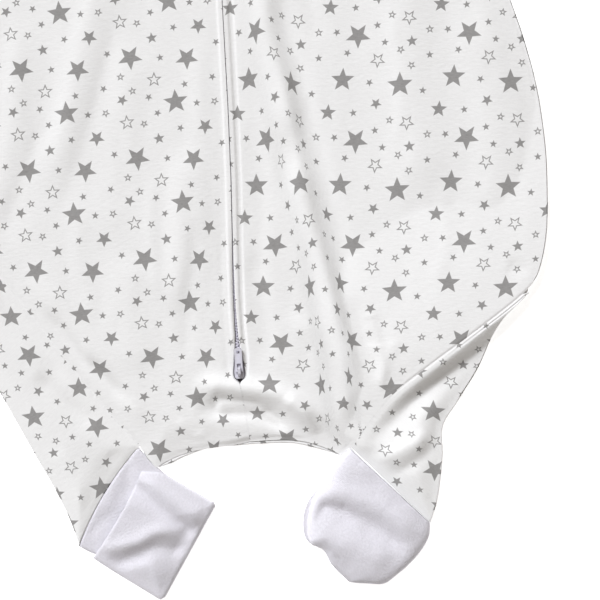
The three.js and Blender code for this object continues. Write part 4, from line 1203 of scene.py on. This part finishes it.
def tube(name, sections, base, tall, folds, closed=False, puff=0, slack=0, filled=30, dents=()):
    """Flattened tube of knit with a true wall, open at the leg and closed or open at its far end.

    It is tall high from its base up, and its upper layer swells by puff, in full from filled
    inside its edge. Slack widens its rolled edge, and a dent pushes the plan aside round a place.
    """
    wall = cloth_size("rib")
    dense = np.linspace(0, len(sections["lx"]) - 1, 30 * len(sections["lx"]))
    middle = np.stack([through((sections["l" + k] + sections["r" + k]) / 2, dense) for k in "xy"], axis=1)
    run = run_of(middle)
    rows = round(run[-1] / KNIT_STEP)
    spacing = np.linspace(0, 1, rows + 1)
    if closed:
        spacing = 0.75 * spacing + 0.25 * np.sin(spacing * math.pi / 2)
    places = (spacing * run[-1])[:, None]
    t = np.interp(places[:, 0], run, dense)
    lx, ly, rx, ry, bow, lip = (through(column, t)[:, None] for column in sections.values())
    width = np.hypot(rx - lx, ry - ly)
    ux, uy = (rx - lx) / width, (ry - ly) / width
    columns = round(float(width.max()) / KNIT_STEP)
    even = np.linspace(0, 1, columns + 1)
    share = EVEN_SHARE * even + (1 - EVEN_SHARE) * (1 - np.cos(math.pi * even)) / 2
    level = base + tall / 2
    layers = []
    for inset in (0.0, wall):
        along = inset + (width - 2 * inset) * share
        bowed = bow * 4 * (along / width) * (1 - along / width)
        x, y = lx + ux * along - uy * bowed, ly + uy * along + ux * bowed
        for across, down, push_x, push_y, size in dents:
            near_dent = bell(np.hypot(x - across, y - down), size)
            x, y = x + push_x * near_dent, y + push_y * near_dent
        side = np.minimum(along, width - along) - inset
        near = np.minimum(side, np.maximum(run[-1] - places - inset, 0) if closed else np.inf)
        upper = np.where(along < lip, 0.0, np.minimum(near, along - lip + BESIDE_LIP))
        reach = ease(*FOLDS_FROM_EDGE, upper)
        risen = dome(upper / filled) if slack > 1 else ease(0, filled, upper)
        rumples = 0.5 * rumpled(x, y, 15, 15, 21.0) + 0.22 * rumpled(x, y, 4, 4, 23.0)
        crown = np.maximum(-0.45 * tall * reach, puff * risen + (folded(folds, x, y) + rumples) * reach)
        half = tall / 2 - inset
        roll = UPPER_ROLL + slack * ease(*SLACK_FROM_MOUTH, places)
        top = level + half * dome(upper / roll) + crown
        under = level - half * dome(near / LOWER_ROLL)
        if layers:
            top = np.minimum(top, layers[0][2] - LEAST_WALL * wall)
            under = np.minimum(np.maximum(under, layers[0][3] + LEAST_WALL * wall), top)
        else:
            shelf = level - 0.6 + 0.9 * dome(side)
            top = np.where(along < lip, np.minimum(top, shelf), top)
        layers.append((x, y, np.maximum(top, under), under, along))
    points, spots = [], []
    for x, y, top, under, along in layers:
        lower, upper = np.dstack([x, y, under]), np.dstack([x, y, top])
        lower[:, 0, 2] = lower[:, -1, 2] = level
        marks = np.stack(np.broadcast_arrays(along, places), axis=-1)
        points.append(np.concatenate([lower, upper[:, -2:0:-1]], axis=1))
        spots.append(np.concatenate([marks, marks[:, -2:0:-1]], axis=1))
    mouth = (points[0][0] + points[1][0]) / 2
    mouth[:, :2] += unit(middle[0] - middle[3]) * wall / 2
    size = 2 * columns
    count = size * (rows + 1)
    outer, inner = np.arange(2 * count).reshape(2, -1, size)
    faces = [*walls(outer), *walls(inner), *walls([outer[0], 2 * count + np.arange(size), inner[0]])]
    if not closed:
        faces += walls([outer[-1], inner[-1]])
    points = np.concatenate([part.reshape(-1, 3) for part in (*points, mouth)])
    spots = np.concatenate([part.reshape(-1, 2) for part in (*spots, spots[0][0])])
    return build_mesh(name, points, np.concatenate(faces), spots, merge=True)


class SLEEPBAG_OT_feet(bpy.types.Operator):
    """Lay the cuff tube of each leg and the foot cover turned over it"""

    bl_idname = "sleepbag.feet"
    bl_label = "Cuffs and foot covers"

    def execute(self, context):
        rib = cloth_size("rib")
        layers = 2 * rib + LAYER_PLAY
        folds = COVER_FOLDS + COVER_CREASES
        tall = 4 * rib + 3 * LAYER_PLAY + 0.4
        dents = [(45.5, -327, 2.9, 2.6, 8)]
        pieces = {
            "cuff_left": (LEFT_CUFF, rib + LAYER_PLAY, layers, CUFF_CREASES),
            "cuff_right": (RIGHT_CUFF, rib + LAYER_PLAY, layers, []),
            "foot_cover_left": (LEFT_COVER, 0, tall, folds, True, COVER_PUFF, 0.6),
            "foot_cover_right": (RIGHT_COVER, 0, tall, folds, True, COVER_PUFF, 4.8, 20, dents),
        }
        for name, form in pieces.items():
            dress(tube(name, *form), cuff_knit(), name)
        return {"FINISHED"}


# ---------------------------------------------------------------- neck and armhole bands

BAND_STEP = 2.0
BAND_CROWN = 0.35
BAND_ON_FRONT = 3.6  # how far a neck band lies above the front's lowest cloth
HOOP_RISE = 2.2
HOOP_END = 1.2
# Section of a hoop's run: share of the band's width, share of the wall
BINDING = table(
    "across up",
    (0.06, 0.0), (0.0, 0.3), (0.0, 0.7), (0.06, 1.0), (0.35, 1.12), (0.65, 1.12), (0.94, 1.0),
    (1.0, 0.7), (1.0, 0.3), (0.94, 0.0),
)


def lay_neck_band(name, line, level):
    """A folded binding to the left of a plan line, slightly full across"""
    wall = cloth_size("wall")
    line = evenly(soften(line), BAND_STEP)
    share = np.linspace(0, 1, 7)
    reach = (LAYER_PLAY + BAND * share)[:, None]
    plan = line[:, None] - to_right(unit(np.gradient(line, axis=0)))[:, None] * reach
    z = np.broadcast_to(level + wall + BAND_CROWN * np.sin(math.pi * share), plan.shape[:2])
    cloth = np.stack(np.broadcast_arrays(run_of(line)[:, None], BAND * share), axis=-1)
    dress(shell(name, np.dstack([plan, z]), wall, cloth), cuff_knit(), name)


def hoop(name, lines, tall, thick):
    """Flattened loop of binding between two plan lines, its lower run on the floor"""
    last = lines[:, -1] + HOOP_END * unit(lines[:, -1] - lines[:, -2])
    first = lines[:, 0] + HOOP_END * unit(lines[:, 0] - lines[:, 1])
    inner, outer = np.concatenate([lines, last[:, None], lines[:, ::-1], first[:, None]], axis=1)
    rise, count = tall - thick, lines.shape[1]
    level = np.array([0.0] * count + [rise / 2] + [rise] * count + [rise / 2])[:, None]
    across, up = BINDING["across"], BINDING["up"]
    plan = inner[:, None] + (outer - inner)[:, None] * across[:, None]
    z = level + thick * np.where(level > 0, up, np.minimum(up, 1))
    along = BAND_STEP * np.arange(len(level))[:, None]
    cloth = np.stack(np.broadcast_arrays(along, across * BAND), axis=-1)
    loops = np.arange(z.size).reshape(z.shape)
    faces = np.concatenate(walls([*loops, loops[0]]))
    return build_mesh(name, np.dstack([plan, z]).reshape(-1, 3), faces, cloth.reshape(-1, 2))


def lay_armhole_band(side, name):
    wall = cloth_size("wall")
    line = np.stack([UPPER_ROWS["x"], UPPER_ROWS["y"]], axis=1)[5:11]
    out = to_right(unit(np.gradient(line, axis=0)))
    gap = LAYER_PLAY + 0.2
    lines = [evenly(soften((line + out * reach) * (side, 1)), BAND_STEP) for reach in (gap, gap + BAND)]
    count = min(len(line) for line in lines)
    lines = np.stack([through(line, np.linspace(0, len(line) - 1, count)) for line in lines])
    piece = hoop(name, lines, wall + LAYER_PLAY + HOOP_RISE + wall, wall)
    dress(piece, cuff_knit(), name)


class SLEEPBAG_OT_bands(bpy.types.Operator):
    """Bind the neck and both armholes"""

    bl_idname = "sleepbag.bands"
    bl_label = "Bands"

    def execute(self, context):
        on_front = cloth_size("wall") + LAYER_PLAY + BAND_ON_FRONT
        for side, name in ((RIGHT, "neck_band_right"), (LEFT, "neck_band_left")):
            line = front_grid(side, cloth_size("step"))[-1]
            line = line[line[:, 0] * side > 1.5][::4]
            lay_neck_band(name, line if side == RIGHT else line[::-1], on_front)
        lay_neck_band("neck_band_back", BACK_NECK, 0)
        lay_armhole_band(LEFT, "armhole_band_left")
        lay_armhole_band(RIGHT, "armhole_band_right")
        return {"FINISHED"}


# ---------------------------------------------------------------- zip

# A bar's rings: share of its length, share of its full size
BAR_RINGS = ((0.0, 0.55), (0.12, 0.9), (0.3, 1.0), (0.7, 1.0), (0.88, 0.9), (1.0, 0.55))
BAR_SIDES = 8
TAPE_END, TAPE_STEP = -206, 2.0
TAPE_COLUMNS = np.array([0, 0.12, 0.3, 0.55, 0.8, 0.92, 1.0])
TOOTH_BACK, TOOTH_AHEAD = 0.7, 1.6  # how far a tooth reaches to each side of the zip line
TOOTH_LEAN = 0.18
TOOTH_TALL = 0.95


def bars(name, starts, ends, across, tall):
    """Small rounded bars from start to end points, joined into one mesh"""
    run = ends - starts
    ahead = unit(run)
    beside = unit(np.cross(ahead, (0, 0, 1.0)))
    above = np.cross(beside, ahead)
    points = []
    for share, size in BAR_RINGS:
        for turn in 2 * math.pi * np.arange(BAR_SIDES) / BAR_SIDES:
            round_it = beside * across * math.cos(turn) + above * tall * math.sin(turn)
            points.append(starts + run * share + round_it * size / 2)
    points = np.stack(points, axis=1)
    loops = np.arange(points.shape[1]).reshape(-1, BAR_SIDES)
    bar = [*np.concatenate(walls(loops)), loops[0][::-1], loops[-1]]
    faces = [first + face for first in range(0, points.size // 3, points.shape[1]) for face in bar]
    points = points.reshape(-1, 3)
    return build_mesh(name, points, faces, points[:, :2])


def lay_tape(side, name):
    y = np.arange(ZIP_TOP, TAPE_END, -TAPE_STEP)[:, None]
    part = SEAM + 1.6 * ease(-180, -190, y) * ease(TAPE_END, TAPE_END + 3, y)
    x = zip_at("x", y) + side * (part + (TAPE_WIDTH - part) * TAPE_COLUMNS)
    plan = np.stack(np.broadcast_arrays(x, y), axis=-1)
    top = np.dstack([plan, np.full(x.shape, TAPE_UNDER + TAPE_WALL)])
    dress(shell(name, top, TAPE_WALL, plan), woven_tape(), name)


def lay_coil():
    """Teeth of the closed coil, which slant and cross the zip line by turns"""
    pitch = bpy.context.scene.sleepbag_zip.pitch / MM
    y = np.arange(ZIP_TOP - 1, SLIDER_TOP + 0.8, -pitch)
    middle = zip_at("x", y)
    turn = np.where(np.arange(len(y)) % 2 == 0, 1.0, -1.0)
    level = np.full(len(y), COIL_UNDER + COIL_TALL / 2)
    starts = np.stack([middle - turn * TOOTH_BACK, y + TOOTH_LEAN, level + 0.1], axis=1)
    ends = np.stack([middle + turn * TOOTH_AHEAD, y - TOOTH_LEAN, level - 0.05], axis=1)
    piece = bars("zip_coil", starts, ends, pitch * 0.86, TOOTH_TALL)
    dress(piece, coil_plastic(), "zip_coil")


def paint_metal(node):
    node.data.materials.clear()
    node.data.materials.append(painted_metal())
    soft = node.modifiers.new("soft edges", "BEVEL")
    soft.width = 0.28 * MM
    soft.segments = 3
    soft.limit_method = "ANGLE"
    soft.angle_limit = math.radians(35)
    soft.harden_normals = False


class SLEEPBAG_OT_zip(bpy.types.Operator):
    """Lay the zip's two tapes and the teeth of the closed coil, and give the slider and the pull tab their
    paint and soft edges
    """

    bl_idname = "sleepbag.zip"
    bl_label = "Zip"

    def execute(self, context):
        lay_tape(LEFT, "zip_tape_left")
        lay_tape(RIGHT, "zip_tape_right")
        lay_coil()
        for name in ("zip_slider", "zip_pull"):
            paint_metal(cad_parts[name])
        return {"FINISHED"}


# ---------------------------------------------------------------- stitching

STITCH_PITCH, STITCH_LONG = 2.6, 2.0
STITCH_WIDE, STITCH_TALL = 0.42, 0.34
STITCH_UP = 0.08
STITCH_ROWS = (2.2, 4.6)  # how far inside the edge each row is sewn
NECK_MIDDLE = np.array([0.0, 200.0])


def stitch_row(line, heights):
    """Start and end points of stitches along a plan line at the heights of a surface"""
    line = evenly(soften(line), STITCH_PITCH)
    run = unit(np.diff(line, axis=0))
    starts = line[:-1] + run * (STITCH_PITCH - STITCH_LONG) / 2
    both = (starts, starts + run * STITCH_LONG)
    return [np.column_stack([spots, heights(spots) + STITCH_UP]) for spots in both]


def surface_height(grid, z):
    """Height of a grid's surface at plan places, from its nearest points"""
    flat, level = grid.reshape(-1, 2), z.ravel()
    tree = kdtree.KDTree(len(flat))
    for i, (x, y) in enumerate(flat):
        tree.insert((x, y, 0), i)
    tree.balance()

    def height(places):
        result = []
        for x, y in places:
            found = tree.find_n((x, y, 0), 4)
            weights = [1 / (gap + 0.05) for _, _, gap in found]
            total = sum(w * level[i] for w, (_, i, _) in zip(weights, found))
            result.append(total / sum(weights))
        return np.array(result)

    return height


class SLEEPBAG_OT_stitches(bpy.types.Operator):
    """Sew the twin rows of stitches below the neck band and beside the armhole bands"""

    bl_idname = "sleepbag.stitches"
    bl_label = "Stitches"

    def execute(self, context):
        for side, name in ((RIGHT, "stitches_right"), (LEFT, "stitches_left")):
            grid = front_grid(side, cloth_size("step"))
            heights = surface_height(grid, front_heights(grid, side))
            neck = grid[-1][2:-2:4]
            down = to_right(unit(np.gradient(neck, axis=0)))
            down *= np.sign(np.sum(down * (NECK_MIDDLE - neck), axis=1, keepdims=True))
            arm = grid[:, -1]
            arm = arm[(arm[:, 1] > 230) & (arm[:, 1] < 350)][::4]
            rows = [(neck + down * inset, arm - (side * inset, 0)) for inset in STITCH_ROWS]
            sewn = [stitch_row(line, heights) for pair in rows for line in pair]
            starts, ends = map(np.concatenate, zip(*sewn))
            piece = bars(name, starts, ends, STITCH_WIDE, STITCH_TALL)
            dress(piece, thread())
        return {"FINISHED"}


# ---------------------------------------------------------------- stage

FLOOR_REACH = 3.0
FLOOR_GLOW = 0.68
SKY = (1.0, 0.93, 0.85, 1)
SUN = (0.98, 1.0, 1.035)
SUN_FROM = (-0.42, 0.64, 0.64)
CAMERA_OVER = (42.9 * MM, -141.8 * MM)


class SLEEPBAG_OT_stage(bpy.types.Operator):
    """Set the floor, the soft light and the camera straight above the garment"""

    bl_idname = "sleepbag.stage"
    bl_label = "Stage"

    def execute(self, context):
        scene = context.scene
        stage = scene.sleepbag_stage
        corners = [(x * FLOOR_REACH, y * FLOOR_REACH, 0) for x, y in ((-1, -1), (1, -1), (1, 1), (-1, 1))]
        floor = bpy.data.meshes.new("floor")
        floor.from_pydata(corners, [], [(0, 1, 2, 3)])
        piece = bpy.data.objects.new("floor", floor)
        piece.location.z = CAD_BOX[0].z - 0.2 * MM
        scene.collection.objects.link(piece)
        material, _, shader = new_material("pale_floor", 0.9)
        shader.inputs["Base Color"].default_value = (0.95, 0.95, 0.95, 1)
        shader.inputs["Emission Color"].default_value = (1, 1, 1, 1)
        shader.inputs["Emission Strength"].default_value = FLOOR_GLOW
        floor.materials.append(material)

        world = bpy.data.worlds.new("studio")
        world.use_nodes = True
        sky = world.node_tree.nodes["Background"]
        sky.inputs["Color"].default_value = SKY
        sky.inputs["Strength"].default_value = stage.fill
        scene.world = world
        lamp = bpy.data.lights.new("key", "SUN")
        lamp.energy = stage.key
        lamp.angle = math.radians(28)
        lamp.color = SUN
        key = bpy.data.objects.new("key", lamp)
        towards = Vector(SUN_FROM).normalized()
        key.rotation_mode = "QUATERNION"
        key.rotation_quaternion = towards.to_track_quat("Z", "Y")
        scene.collection.objects.link(key)
        scene.view_settings.view_transform = "Standard"

        lens = bpy.data.cameras.new("camera")
        lens.sensor_width = 36
        lens.lens = lens.sensor_width * stage.height / stage.width
        lens.dof.use_dof = False
        camera = bpy.data.objects.new("camera", lens)
        camera.location = (*CAMERA_OVER, stage.height)
        camera.rotation_euler = (0, 0, stage.roll)
        scene.collection.objects.link(camera)
        scene.camera = camera
        return {"FINISHED"}


class SLEEPBAG_PT_panel(bpy.types.Panel):
    """Buttons that build the sleeping bag"""

    bl_idname = "SLEEPBAG_PT_panel"
    bl_label = "Sleeping bag"
    bl_space_type = "VIEW_3D"
    bl_region_type = "UI"
    bl_category = "Sleeping bag"

    def draw(self, context):
        for settings in SETTINGS:
            values = getattr(context.scene, settings)
            box = self.layout.box()
            for name in values.__annotations__:
                box.prop(values, name)
        for operator in OPERATORS:
            self.layout.operator(operator.bl_idname)


SETTINGS = {
    "sleepbag_cloth": SLEEPBAG_PG_cloth,
    "sleepbag_zip": SLEEPBAG_PG_zip,
    "sleepbag_stage": SLEEPBAG_PG_stage,
}
OPERATORS = (
    SLEEPBAG_OT_stage,
    SLEEPBAG_OT_back,
    SLEEPBAG_OT_fronts,
    SLEEPBAG_OT_leg_panels,
    SLEEPBAG_OT_feet,
    SLEEPBAG_OT_bands,
    SLEEPBAG_OT_zip,
    SLEEPBAG_OT_stitches,
)


def register():
    for kind in (*SETTINGS.values(), *OPERATORS, SLEEPBAG_PT_panel):
        bpy.utils.register_class(kind)
    for name, kind in SETTINGS.items():
        setattr(bpy.types.Scene, name, PointerProperty(type=kind))


def unregister():
    for name in SETTINGS:
        delattr(bpy.types.Scene, name)
    for kind in (SLEEPBAG_PT_panel, *reversed(OPERATORS), *SETTINGS.values()):
        bpy.utils.unregister_class(kind)


def main():
    register()
    for operator in OPERATORS:
        family, action = operator.bl_idname.split(".")
        getattr(getattr(bpy.ops, family), action)()


if __name__ == "__main__":
    main()
